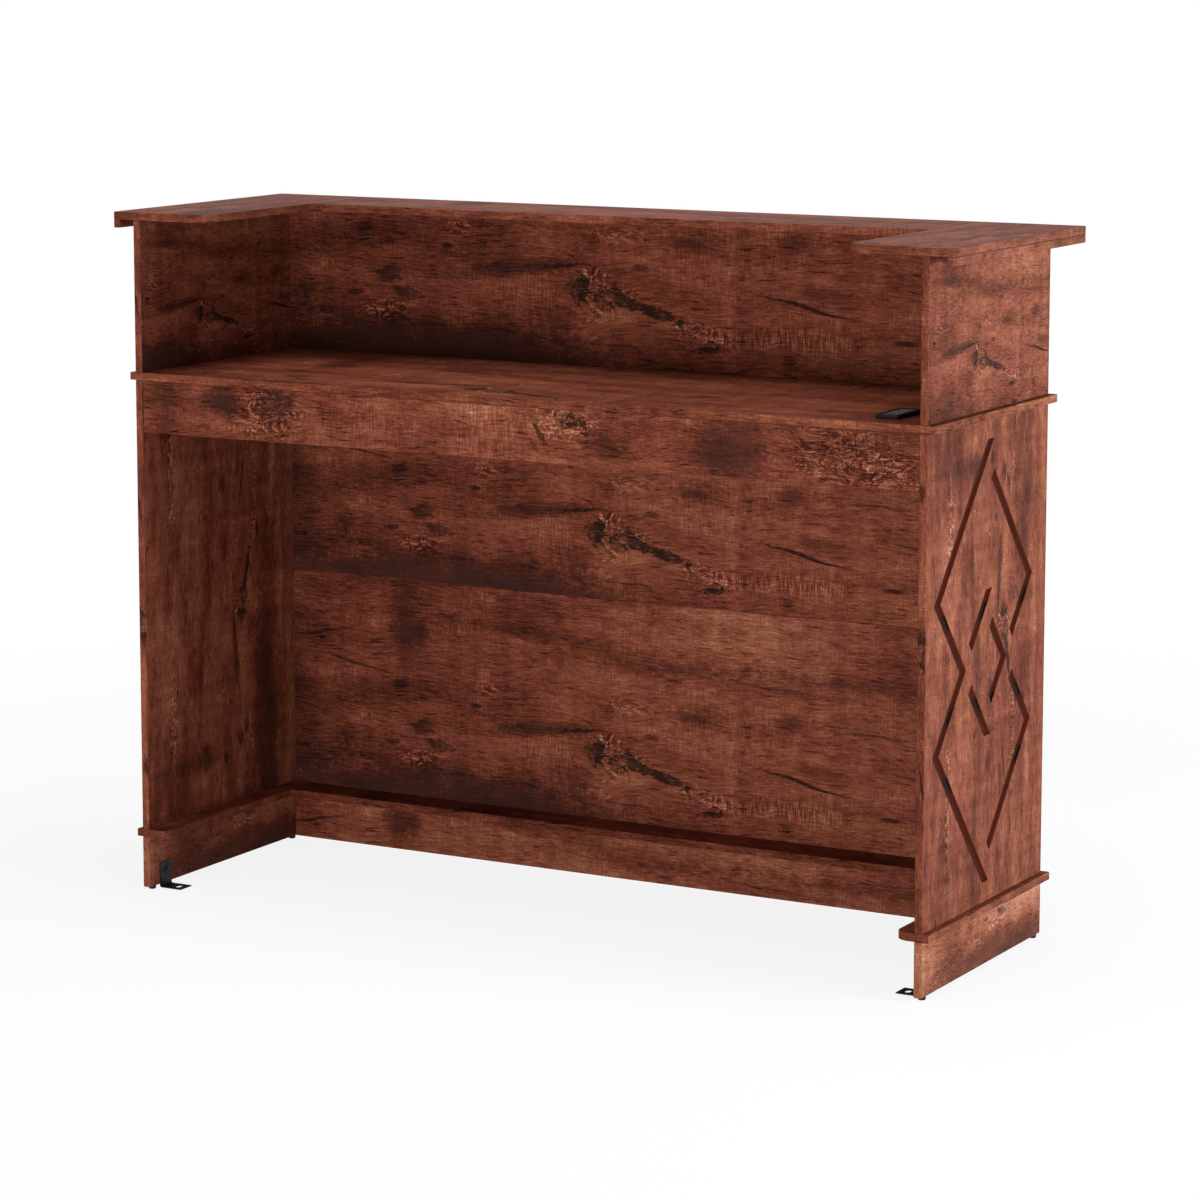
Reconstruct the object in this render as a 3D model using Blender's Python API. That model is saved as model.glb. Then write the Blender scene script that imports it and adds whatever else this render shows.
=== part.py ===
"""Reception desk in rustic laminate board: two tiers, a worktop between them and a wrap-round counter.

Metres, +Z up. X runs along the desk, -Y is the staff side and +Y the customer side.
The origin lies on the floor under the middle of the counter's outline.
"""

import math

import bmesh
import bpy
from mathutils import Matrix, Vector

# Carcass
CARCASS_WIDTH = 1.325        # between the outer faces of the side boards
CARCASS_DEPTH = 0.4215       # from the staff edge to the customer face
BOARD = 0.012                # thickness of every board
BASE_HEIGHT = 0.080          # plinth boards
LOWER_HEIGHT = 0.701         # lower tier, between base ledge and worktop
UPPER_HEIGHT = 0.232         # upper tier, between worktop and counter
LEDGE_OVERHANG = 0.010       # worktop and base ledge past the carcass, at the ends and customer side
SIDE_LEDGE_INSIDE = 0.031    # base ledge past the inner faces of the base sides
FRONT_LEDGE_INSIDE = 0.060   # base ledge past the inner face of the base front
LEDGE_CORNER = 0.020         # rounding of the side ledges' inner staff corners
APRON_HEIGHT = 0.080
APRON_SETBACK = 0.002        # apron behind the staff edge
TONGUE_THICKNESS = 0.004     # joint along the seam of the lower front boards
TONGUE_HEIGHT = 0.006
EDGE_ROUND = 0.0007          # softened edges of the boards and the outlet's faces

# Counter
END_OVERHANG = 0.0375        # counter past the side boards
CUSTOMER_OVERHANG = 0.0405   # counter past the front boards
CAP_WIDTH = 0.167            # end caps, along X
CAP_CORNER = 0.030           # rounding of the caps' inner staff corners
CAP_OUTER_CORNER = 0.004
COUNTER_BOARD_DEPTH = 0.174  # long board on the customer side
LIP_WIDTH = 0.012            # strips under the counter's outer edges
LIP_DROP = 0.012

# Grooved ornament on the lower sides: strokes on two families of slanting lines
MOTIF_CENTRE = 0.199         # from the staff edge
MOTIF_OUTER = 0.2505         # outer lines, measured along Y from the middle
MOTIF_INNER = 0.0715         # inner lines, measured the same way
MOTIF_SLOPE = 1.2            # rise of a line for each unit along Y
MOTIF_GAP = 0.050            # a stroke stops this far before the line that it passes under
MOTIF_RUN = 0.034            # a stroke runs this far past the line that it passes over
GROOVE_WIDTH = 0.017
GROOVE_DEPTH = 0.0035

# Levelling feet and their threaded inserts
FOOT_HEIGHT = 0.005
FOOT_RADIUS = 0.006
FOOT_TIP_RADIUS = 0.005
FOOT_FRONT_INSET = 0.015     # foot axis from the staff edge
FOOT_BACK_INSET = 0.014      # foot axis from the customer face
STEM_RADIUS = 0.0025
STEM_LENGTH = 0.018
INSERT_RADIUS = 0.004
INSERT_LENGTH = 0.022

# Floor brackets, bent from flat steel, and the screws that clamp them
BRACKET_SHEET = 0.0015
BRACKET_BEND = 0.002         # inside radius of the bend
BRACKET_WIDTH = 0.030
BRACKET_INSET = 0.026        # from the staff edge
BRACKET_UPRIGHT = 0.040
BRACKET_FLOOR_LEG = 0.039
SLOT_WIDTH = 0.0055
SLOT_LENGTH = 0.0145
SCREW_RISE = 0.025           # screw axis above the floor
SCREW_RADIUS = 0.002
SCREW_BITE = 0.008           # shank inside the base board
SCREW_HEAD_RADIUS = 0.0045
SCREW_HEAD_HEIGHT = 0.0022
SCREW_RIM_HEIGHT = 0.0007    # straight rim under the head's dome
SCREW_CROWN_RADIUS = 0.0027  # flatter crown of the dome
SCREW_CROWN_HEIGHT = 0.0019
ANCHOR_SLOT_LENGTH = 0.015   # across the floor leg
ANCHOR_SLOT_WIDTH = 0.009
ANCHOR_SLOT_INSET = 0.026    # middle of the floor leg's slot from the upright's back

# Dowels that tie the boards edge to edge
DOWEL_RADIUS = 0.003
DOWEL_REACH = 0.020          # into the edge of a board
DOWEL_BLIND = 0.008          # into the face of a board
DOWEL_INSET = 0.060          # side dowels, from the side boards' edges
FRONT_DOWEL_INSET = 0.2505   # front dowels, from the side boards' inner faces

# Power outlet let into the worktop
OUTLET_END_INSET = 0.0705    # outlet's middle from the right side board's inner face
OUTLET_INSET = 0.084         # outlet's middle from the staff edge
OUTLET_WIDTH = 0.037         # bezel, along X
OUTLET_LENGTH = 0.084        # bezel, along Y
OUTLET_PROUD = 0.006
OUTLET_CORNER = 0.004
OUTLET_FRAME = 0.0055        # width of the bezel's frame
OUTLET_DEPTH = 0.040         # body below the worktop's top face
OUTLET_WALL = 0.002
POCKET_DEPTH = 0.014
FACE_RECESS = 0.0008         # inserts below the bezel's top face
SOCKET_SHARE_LENGTH = 0.042  # mains socket's part of the window's length
BARB_REACH = 0.0025
BARB_HEIGHT = 0.009
BLADE_SLOT = (0.008, 0.002)
BLADE_PITCH = 0.0127
GROUND_HOLE_RADIUS = 0.0024
BLADE_OFFSET = 0.0038        # blade slots from the socket's middle, along X
GROUND_OFFSET = 0.0077       # ground hole from the socket's middle, the other way
SOCKET_DEPTH = 0.013
USB_PORT = (0.0126, 0.0052)
USB_PITCH = 0.013
USB_DEPTH = 0.012
GLAND_BORE_RADIUS = 0.0035
GLAND_RADIUS = 0.0075
GLAND_TIP_RADIUS = 0.0055
GLAND_LENGTH = 0.012
GLAND_FLANGE = 0.002

# Fits and facets
SEAT = 0.0003                # gap between pieces that rest on or fit in each other
CUT_PAST = 0.002             # how far a cutter runs past the face it opens
ARC_STEPS = 6                # facets in a quarter circle
SHARP_ANGLE = 40             # degrees between faces, from which an edge counts as sharp
ROUND_SIDES = 16

# Levels above the floor
Z_BASE = FOOT_HEIGHT
Z_LEDGE = Z_BASE + BASE_HEIGHT
Z_LOWER = Z_LEDGE + BOARD
Z_WORKTOP = Z_LOWER + LOWER_HEIGHT
Z_UPPER = Z_WORKTOP + BOARD
Z_COUNTER = Z_UPPER + UPPER_HEIGHT
Z_TOP = Z_COUNTER + BOARD

# Places along X and Y
OUTER_X = CARCASS_WIDTH / 2
INNER_X = OUTER_X - BOARD
SIDE_X = OUTER_X - BOARD / 2
COUNTER_X = OUTER_X + END_OVERHANG
CAP_X = COUNTER_X - CAP_WIDTH
LEDGE_X = OUTER_X + LEDGE_OVERHANG
LEDGE_INNER_X = INNER_X - SIDE_LEDGE_INSIDE
STAFF_Y = -(CARCASS_DEPTH + CUSTOMER_OVERHANG) / 2
CUSTOMER_Y = STAFF_Y + CARCASS_DEPTH
FRONT_INNER_Y = CUSTOMER_Y - BOARD
FRONT_Y = CUSTOMER_Y - BOARD / 2
LEDGE_Y = CUSTOMER_Y + LEDGE_OVERHANG
COUNTER_Y = CUSTOMER_Y + CUSTOMER_OVERHANG

SIDES = {"left": -1, "right": 1}

# Colour, roughness and metallic value of each finish
FINISHES = {
    "laminate": ((0.190, 0.062, 0.034), 0.55, 0.0),
    "dowel": ((0.520, 0.340, 0.180), 0.70, 0.0),
    "black_steel": ((0.012, 0.012, 0.013), 0.45, 0.6),
    "zinc": ((0.520, 0.530, 0.540), 0.35, 1.0),
    "black_plastic": ((0.010, 0.010, 0.011), 0.50, 0.0),
    "gloss_black": ((0.016, 0.017, 0.018), 0.25, 0.0),
}

pieces = {}
bores = {}


def clear_scene():
    for item in list(bpy.data.objects):
        bpy.data.objects.remove(item, do_unlink=True)


def finish_material(name, finish):
    colour, roughness, metallic = FINISHES[finish]
    material = bpy.data.materials.new(f"{name}_{finish}")
    material.use_nodes = True
    shader = material.node_tree.nodes["Principled BSDF"]
    shader.inputs["Base Color"].default_value = (*colour, 1.0)
    shader.inputs["Roughness"].default_value = roughness
    shader.inputs["Metallic"].default_value = metallic
    return material


def add_group(name):
    group = bpy.data.objects.new(name, None)
    bpy.context.collection.objects.link(group)
    return group


def add_piece(name, shape, finish, location, group, soften=True):
    """Turn a bmesh into a named piece, with softened edges where it is a sawn or moulded one."""
    mesh = bpy.data.meshes.new(name)
    shape.to_mesh(mesh)
    shape.free()
    piece = bpy.data.objects.new(name, mesh)
    bpy.context.collection.objects.link(piece)
    mesh.materials.append(finish_material(name, finish))
    piece.location = location
    piece.parent = group
    if soften:
        bevel = piece.modifiers.new("softened_edges", "BEVEL")
        bevel.width = EDGE_ROUND
        bevel.segments = 1
        bevel.limit_method = "ANGLE"
        bevel.angle_limit = math.radians(SHARP_ANGLE)
    else:
        mesh.shade_smooth()
        mesh.set_sharp_from_angle(angle=math.radians(SHARP_ANGLE))
    pieces[name] = piece
    return piece


def rounded_outline(corners):
    """Outline through right-angled (u, v, radius) corners; a radius of 0 leaves a corner sharp."""
    points = []
    for index, (u, v, radius) in enumerate(corners):
        corner = Vector((u, v))
        if not radius:
            points.append(corner)
            continue
        back = (Vector(corners[index - 1][:2]) - corner).normalized() * radius
        ahead = (Vector(corners[(index + 1) % len(corners)][:2]) - corner).normalized() * radius
        for step in range(ARC_STEPS + 1):
            turn = math.radians(90) * step / ARC_STEPS
            points.append(corner + back * (1 - math.sin(turn)) + ahead * (1 - math.cos(turn)))
    return points


def rectangle(half_u, half_v, centre=(0.0, 0.0), radius=0.0):
    signs = ((-1, -1), (1, -1), (1, 1), (-1, 1))
    return rounded_outline([(centre[0] + s * half_u, centre[1] + t * half_v, radius) for s, t in signs])


def slot_outline(length, width, centre):
    """Outline of a slot with half-round ends, its length along v."""
    straight = (length - width) / 2
    points = []
    for end in (1, -1):
        for step in range(2 * ARC_STEPS + 1):
            turn = math.radians(180) * step / (2 * ARC_STEPS)
            across = end * math.cos(turn) * width / 2
            forward = end * (straight + math.sin(turn) * width / 2)
            points.append(Vector(centre) + Vector((across, forward)))
    return points


def prism(outline, low, high, axis):
    """Closed prism: an outline across an axis, carried from low to high along it."""
    u, v, w = {"X": (1, 2, 0), "Y": (0, 2, 1), "Z": (0, 1, 2)}[axis]
    shape = bmesh.new()
    rims = []
    for level in (low, high):
        rim = []
        for point in outline:
            place = [0.0, 0.0, 0.0]
            place[u], place[v], place[w] = point[0], point[1], level
            rim.append(shape.verts.new(place))
        shape.faces.new(rim)
        rims.append(rim)
    bmesh.ops.bridge_loops(shape, edges=shape.edges)
    bmesh.ops.recalc_face_normals(shape, faces=shape.faces)
    return shape


def turned(profile, ring=False):
    """Solid of (radius, height) points spun about Z; a ring's profile closes on itself."""
    shape = bmesh.new()
    points = [shape.verts.new((radius, 0.0, height)) for radius, height in profile]
    ends = points + points[:1] if ring else points
    lines = [shape.edges.new(pair) for pair in zip(ends, ends[1:])]
    bmesh.ops.spin(shape, geom=points + lines, cent=(0, 0, 0), axis=(0, 0, 1),
                   angle=2 * math.pi, steps=ROUND_SIDES, use_merge=True)
    bmesh.ops.remove_doubles(shape, verts=shape.verts, dist=1e-6)
    bmesh.ops.recalc_face_normals(shape, faces=shape.faces)
    return shape


def rod(radius, length):
    return turned([(0, -length / 2), (radius, -length / 2), (radius, length / 2), (0, length / 2)])


def placed(shape, centre, direction=(0, 0, 1)):
    """Move a shape's origin to a point and its Z axis along a direction."""
    turn = Vector(direction).to_track_quat("Z", "Y").to_matrix().to_4x4()
    shape.transform(Matrix.Translation(centre) @ turn)
    return shape


def cut(piece, label, tools):
    """Take closed tool shapes, gathered in one wire cutter, out of a piece."""
    mesh = bpy.data.meshes.new(f"{piece.name}_{label}")
    gathered = bmesh.new()
    for tool in tools:
        tool.to_mesh(mesh)
        tool.free()
        gathered.from_mesh(mesh)
    gathered.to_mesh(mesh)
    gathered.free()
    cutter = bpy.data.objects.new(mesh.name, mesh)
    bpy.context.collection.objects.link(cutter)
    cutter.hide_render = True
    cutter.display_type = "WIRE"
    modifier = piece.modifiers.new(label, "BOOLEAN")
    modifier.operation = "DIFFERENCE"
    modifier.object = cutter


def board(name, x_span, y_span, z_span, group):
    """Plain rectangular board, its origin at its middle."""
    spans = (x_span, y_span, z_span)
    middle = [(low + high) / 2 for low, high in spans]
    half = [(high - low) / 2 for low, high in spans]
    shape = prism(rectangle(half[0], half[1]), -half[2], half[2], "Z")
    return add_piece(name, shape, "laminate", middle, group)


def shaped_board(name, corners, low, high, group):
    """Level board with some corners rounded in plan."""
    shape = prism(rounded_outline(corners), 0.0, high - low, "Z")
    return add_piece(name, shape, "laminate", (0, 0, low), group)


def side_span(sign, near, far):
    return (near, far) if sign > 0 else (-far, -near)


def build_base():
    group = add_group("base")
    for side, sign in SIDES.items():
        board(f"base_{side}", side_span(sign, INNER_X, OUTER_X), (STAFF_Y, CUSTOMER_Y),
              (Z_BASE, Z_LEDGE - SEAT), group)
        inner, outer = sign * LEDGE_INNER_X, sign * LEDGE_X
        corners = [(inner, STAFF_Y, LEDGE_CORNER), (outer, STAFF_Y, 0), (outer, LEDGE_Y, 0),
                   (inner, LEDGE_Y, 0)]
        shaped_board(f"base_ledge_{side}", corners, Z_LEDGE, Z_LOWER - SEAT, group)
    reach = INNER_X - SEAT
    board("base_front", (-reach, reach), (FRONT_INNER_Y, CUSTOMER_Y), (Z_BASE, Z_LEDGE - SEAT), group)
    reach = LEDGE_INNER_X - SEAT
    board("base_ledge_front", (-reach, reach), (FRONT_INNER_Y - FRONT_LEDGE_INSIDE, LEDGE_Y),
          (Z_LEDGE, Z_LOWER - SEAT), group)


def motif_strokes():
    """Centre lines of the ornament as (points, ends); each point lies on a rising and a falling line.

    Points are (falling, rising): how far along Y the two lines through it cross the motif's middle.
    An end of 1 is cut level, and an end of 0 is cut along the line that the stroke passes under.
    """
    outer, inner = MOTIF_OUTER, MOTIF_INNER
    frame = [(outer + MOTIF_RUN, -outer), (-inner, -outer), (-inner, -inner), (-outer, -inner),
             (-outer, outer + MOTIF_RUN)]
    far_arm = [(outer, MOTIF_GAP - outer), (outer, inner), (inner + MOTIF_GAP, inner)]
    near_arm = [(inner + MOTIF_RUN, -inner), (MOTIF_GAP - inner, -inner)]
    heart = [(inner, MOTIF_GAP - inner), (inner, inner), (MOTIF_GAP - inner, inner)]
    strokes = [(frame, (1, 1)), (heart, (0, 0))]
    for points, ends in ((far_arm, (0, 0)), (near_arm, (1, 0))):
        strokes.append((points, ends))
        strokes.append(([point[::-1] for point in points], ends))
    return strokes


def stroke_outline(points, ends, half_width):
    """Outline of a stroke on the slanted grid, its corners mitred and its ends cut as asked."""
    points = [Vector(point) for point in points]
    runs = [(after - before).normalized() for before, after in zip(points, points[1:])]
    left, right = [], []
    for index, point in enumerate(points):
        run_in = runs[max(index - 1, 0)]
        run_out = runs[min(index, len(runs) - 1)]
        across_in = Vector((-run_in.y, run_in.x)) * half_width
        across_out = Vector((-run_out.y, run_out.x)) * half_width
        offset = across_in if run_in == run_out else across_in + across_out
        if index in (0, len(points) - 1) and ends[index > 0]:
            level = half_width if offset.x + offset.y > 0 else -half_width
            offset = Vector((level, level))
        left.append(point + offset)
        right.append(point - offset)
    return left + right[::-1]


def grid_to_panel(point):
    """Place on the side board, as (Y, Z), of a (falling, rising) point of the slanted grid."""
    middle_z = Z_LOWER + LOWER_HEIGHT / 2
    falling, rising = point
    return (STAFF_Y + MOTIF_CENTRE + (falling + rising) / 2, middle_z + MOTIF_SLOPE * (falling - rising) / 2)


def groove_tools(sign):
    """Cutters for the ornament in the outer face of one lower side."""
    half_width = GROOVE_WIDTH / 2 * math.hypot(1, 1 / MOTIF_SLOPE)
    near, far = side_span(sign, OUTER_X - GROOVE_DEPTH, OUTER_X + CUT_PAST)
    tools = []
    for points, ends in motif_strokes():
        outline = [grid_to_panel(point) for point in stroke_outline(points, ends, half_width)]
        tools.append(prism(outline, near, far, "X"))
    return tools


def build_lower_tier():
    group = add_group("lower_tier")
    for side, sign in SIDES.items():
        panel = board(f"lower_{side}_side", side_span(sign, INNER_X, OUTER_X), (STAFF_Y, CUSTOMER_Y),
                      (Z_LOWER, Z_WORKTOP - SEAT), group)
        cut(panel, "grooves", groove_tools(sign))
    reach = INNER_X - SEAT
    half = BOARD / 2
    seam = Z_LOWER + LOWER_HEIGHT / 2
    tongue = TONGUE_THICKNESS / 2
    low = [(-half, Z_LOWER), (half, Z_LOWER), (half, seam - SEAT), (tongue, seam - SEAT),
           (tongue, seam + TONGUE_HEIGHT), (-tongue, seam + TONGUE_HEIGHT), (-tongue, seam - SEAT),
           (-half, seam - SEAT)]
    slit = tongue + SEAT
    roof = seam + TONGUE_HEIGHT + SEAT
    high = [(-half, seam), (-slit, seam), (-slit, roof), (slit, roof), (slit, seam), (half, seam),
            (half, Z_WORKTOP - SEAT), (-half, Z_WORKTOP - SEAT)]
    for name, outline in (("lower_front_panel_bottom", low), ("lower_front_panel_top", high)):
        add_piece(name, prism(outline, -reach, reach, "X"), "laminate", (0, FRONT_Y, 0), group)


def build_worktop():
    group = add_group("worktop_tier")
    board("worktop", (-LEDGE_X, LEDGE_X), (STAFF_Y, LEDGE_Y), (Z_WORKTOP, Z_UPPER - SEAT), group)
    reach = INNER_X - SEAT
    near = STAFF_Y + APRON_SETBACK
    board("apron", (-reach, reach), (near, near + BOARD), (Z_WORKTOP - APRON_HEIGHT, Z_WORKTOP - SEAT),
          group)


def build_upper_tier():
    group = add_group("upper_tier")
    for side, sign in SIDES.items():
        board(f"upper_{side}_side", side_span(sign, INNER_X, OUTER_X), (STAFF_Y, CUSTOMER_Y),
              (Z_UPPER, Z_COUNTER - SEAT), group)
    reach = INNER_X - SEAT
    board("upper_front_panel", (-reach, reach), (FRONT_INNER_Y, CUSTOMER_Y),
          (Z_UPPER, Z_COUNTER - SEAT), group)


def build_counter():
    group = add_group("counter")
    lip_low, lip_high = Z_COUNTER - SEAT - LIP_DROP, Z_COUNTER - SEAT
    for side, sign in SIDES.items():
        inner, outer = sign * CAP_X, sign * COUNTER_X
        corners = [(inner, STAFF_Y, CAP_CORNER), (outer, STAFF_Y, CAP_OUTER_CORNER), (outer, COUNTER_Y, 0),
                   (inner, COUNTER_Y, 0)]
        shaped_board(f"counter_{side}_cap", corners, Z_COUNTER, Z_TOP, group)
        inner = sign * (COUNTER_X - LIP_WIDTH)
        corners = [(inner, STAFF_Y, 0), (outer, STAFF_Y, CAP_OUTER_CORNER), (outer, COUNTER_Y, 0),
                   (inner, COUNTER_Y, 0)]
        shaped_board(f"counter_lip_{side}", corners, lip_low, lip_high, group)
    reach = CAP_X - SEAT
    board("counter_front_board", (-reach, reach), (COUNTER_Y - COUNTER_BOARD_DEPTH, COUNTER_Y),
          (Z_COUNTER, Z_TOP), group)
    reach = COUNTER_X - LIP_WIDTH - SEAT
    board("counter_lip_front", (-reach, reach), (COUNTER_Y - LIP_WIDTH, COUNTER_Y), (lip_low, lip_high),
          group)


def build_feet():
    """Levelling feet: a tapered pad and a stem that screws into an insert in the base side."""
    group = add_group("feet")
    pad_top = FOOT_HEIGHT - SEAT
    foot = [(0, 0), (FOOT_TIP_RADIUS, 0), (FOOT_RADIUS, pad_top / 2), (FOOT_RADIUS, pad_top),
            (STEM_RADIUS, pad_top), (STEM_RADIUS, Z_BASE + STEM_LENGTH), (0, Z_BASE + STEM_LENGTH)]
    bore = STEM_RADIUS + SEAT
    insert = [(bore, 0), (INSERT_RADIUS, 0), (INSERT_RADIUS, INSERT_LENGTH), (bore, INSERT_LENGTH)]
    places = {"front": STAFF_Y + FOOT_FRONT_INSET, "back": CUSTOMER_Y - FOOT_BACK_INSET}
    for end, y in places.items():
        for side, sign in SIDES.items():
            x = sign * SIDE_X
            add_piece(f"foot_{end}_{side}", turned(foot), "black_plastic", (x, y, 0), group, soften=False)
            add_piece(f"foot_insert_{end}_{side}", turned(insert, ring=True), "zinc", (x, y, Z_BASE),
                      group, soften=False)
            low, high = Z_BASE - CUT_PAST, Z_BASE + INSERT_LENGTH + SEAT
            tool = placed(rod(INSERT_RADIUS + SEAT, high - low), (x, y, (low + high) / 2))
            bores.setdefault(f"base_{side}", []).append(tool)


def build_brackets():
    """Slotted floor brackets on the base sides' inner faces, each with its clamping screw."""
    group = add_group("floor_brackets")
    outer_bend = BRACKET_SHEET + BRACKET_BEND
    middle_y = STAFF_Y + BRACKET_INSET + BRACKET_WIDTH / 2
    slot_low = SCREW_RISE - SLOT_WIDTH / 2
    for side, sign in SIDES.items():
        inward = -sign
        back = sign * (INNER_X - SEAT)
        corners = [(0, 0, outer_bend), (BRACKET_FLOOR_LEG, 0, 0), (BRACKET_FLOOR_LEG, BRACKET_SHEET, 0),
                   (BRACKET_SHEET, BRACKET_SHEET, BRACKET_BEND), (BRACKET_SHEET, BRACKET_UPRIGHT, 0),
                   (0, BRACKET_UPRIGHT, 0)]
        profile = [(inward * u, v) for u, v in rounded_outline(corners)]
        shape = prism(profile, -BRACKET_WIDTH / 2, BRACKET_WIDTH / 2, "Y")
        bracket = add_piece(f"floor_bracket_{side}", shape, "black_steel", (back, middle_y, 0), group,
                            soften=False)
        slot_middle = (middle_y, slot_low + SLOT_LENGTH / 2)
        upright = slot_outline(SLOT_LENGTH, SLOT_WIDTH, slot_middle)
        near, far = sorted((back - inward * CUT_PAST, back + inward * (BRACKET_SHEET + CUT_PAST)))
        slot_middle = (back + inward * ANCHOR_SLOT_INSET, middle_y)
        anchor = slot_outline(ANCHOR_SLOT_LENGTH, ANCHOR_SLOT_WIDTH, slot_middle)
        cut(bracket, "slots", [prism(upright, near, far, "X"),
                               prism(anchor, -CUT_PAST, BRACKET_SHEET + CUT_PAST, "Z")])

        shank = BRACKET_SHEET + 2 * SEAT + SCREW_BITE
        profile = [(0, SCREW_HEAD_HEIGHT), (SCREW_CROWN_RADIUS, SCREW_CROWN_HEIGHT),
                   (SCREW_HEAD_RADIUS, SCREW_RIM_HEIGHT), (SCREW_HEAD_RADIUS, 0), (SCREW_RADIUS, 0),
                   (SCREW_RADIUS, SCREW_RADIUS - shank), (0, -shank)]
        screw = add_piece(f"bracket_screw_{side}", turned(profile), "black_steel",
                          (back + inward * (BRACKET_SHEET + SEAT), middle_y, SCREW_RISE), group, soften=False)
        screw.rotation_euler = (0, math.radians(90) * inward, 0)
        hole = placed(rod(SCREW_RADIUS + SEAT, 2 * (SCREW_BITE + SEAT)),
                      (sign * INNER_X, middle_y, SCREW_RISE), (1, 0, 0))
        bores.setdefault(f"base_{side}", []).append(hole)


def build_outlet():
    """Power outlet: a bezel on the worktop, a body through it, two inserts and a cord gland."""
    group = add_group("power_outlet")
    group.location = (INNER_X - OUTLET_END_INSET, STAFF_Y + OUTLET_INSET, Z_UPPER)
    centre = Vector(group.location)
    half_w, half_l = OUTLET_WIDTH / 2, OUTLET_LENGTH / 2
    window_w, window_l = half_w - OUTLET_FRAME, half_l - OUTLET_FRAME
    body_w, body_l = window_w + OUTLET_WALL, window_l + OUTLET_WALL

    shape = prism(rectangle(half_w, half_l, radius=OUTLET_CORNER), 0, OUTLET_PROUD, "Z")
    bezel = add_piece("outlet_bezel", shape, "black_plastic", (0, 0, 0), group)
    window = prism(rectangle(window_w, window_l), -CUT_PAST, OUTLET_PROUD + CUT_PAST, "Z")
    cut(bezel, "window", [placed(window, centre)])

    under = -BOARD - SEAT
    barb_tip, barb_foot = body_l + BARB_REACH, under - BARB_HEIGHT
    half = [(body_l, -SEAT), (body_l, under), (barb_tip, under), (body_l, barb_foot),
            (body_l, -OUTLET_DEPTH)]
    shape = prism(half + [(-y, z) for y, z in reversed(half)], -body_w, body_w, "X")
    body = add_piece("outlet_body", shape, "black_plastic", (0, 0, 0), group, soften=False)
    floor = -SEAT - POCKET_DEPTH
    pocket = prism(rectangle(window_w, window_l), floor, CUT_PAST, "Z")
    cut(body, "pocket", [placed(pocket, centre)])

    low, high = floor + SEAT, OUTLET_PROUD - FACE_RECESS
    fit_w = window_w - SEAT
    split = window_l - SOCKET_SHARE_LENGTH
    socket_span = (split + SEAT / 2, window_l - SEAT)
    usb_span = (-window_l + SEAT, split - SEAT / 2)
    inserts = {}
    for name, (near, far) in (("outlet_socket", socket_span), ("outlet_usb_insert", usb_span)):
        middle = (near + far) / 2
        shape = prism(rectangle(fit_w, (far - near) / 2), 0, high - low, "Z")
        inserts[name] = (add_piece(name, shape, "gloss_black", (0, middle, low), group), middle)

    def opening(outline, depth, middle):
        return placed(prism(outline, high - depth, high + CUT_PAST, "Z"), centre + Vector((0, middle, 0)))

    socket, middle = inserts["outlet_socket"]
    half_u, half_v = BLADE_SLOT[0] / 2, BLADE_SLOT[1] / 2
    tools = [opening(rectangle(half_u, half_v, (BLADE_OFFSET, end * BLADE_PITCH / 2)), SOCKET_DEPTH, middle)
             for end in (-1, 1)]
    ground = rod(GROUND_HOLE_RADIUS, SOCKET_DEPTH + CUT_PAST)
    ground_z = high + (CUT_PAST - SOCKET_DEPTH) / 2
    tools.append(placed(ground, centre + Vector((-GROUND_OFFSET, middle, ground_z))))
    cut(socket, "contacts", tools)

    usb, middle = inserts["outlet_usb_insert"]
    half_u, half_v = USB_PORT[0] / 2, USB_PORT[1] / 2
    tools = [opening(rectangle(half_u, half_v, (0, end * USB_PITCH / 2)), USB_DEPTH, middle)
             for end in (-1, 1)]
    cut(usb, "ports", tools)

    gland = [(GLAND_BORE_RADIUS, 0), (GLAND_RADIUS, 0), (GLAND_RADIUS, -GLAND_FLANGE),
             (GLAND_TIP_RADIUS, -GLAND_FLANGE), (GLAND_TIP_RADIUS, -GLAND_LENGTH),
             (GLAND_BORE_RADIUS, -GLAND_LENGTH)]
    add_piece("outlet_cord_gland", turned(gland, ring=True), "black_plastic", (0, 0, -OUTLET_DEPTH - SEAT),
              group, soften=False)

    hole = prism(rectangle(body_w + SEAT, body_l + SEAT), -BOARD - CUT_PAST, CUT_PAST, "Z")
    bores.setdefault("worktop", []).append(placed(hole, centre))


def tie(name, boards, centre, length, group, direction=(0, 0, 1)):
    """A dowel, and its bore in each board that it joins."""
    shape = rod(DOWEL_RADIUS, length)
    dowel = add_piece(name, shape, "dowel", centre, group, soften=False)
    dowel.rotation_euler = Vector(direction).to_track_quat("Z", "Y").to_euler()
    for joined in boards:
        tool = placed(rod(DOWEL_RADIUS + SEAT, length + 2 * SEAT), centre, direction)
        bores.setdefault(joined, []).append(tool)


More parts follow.
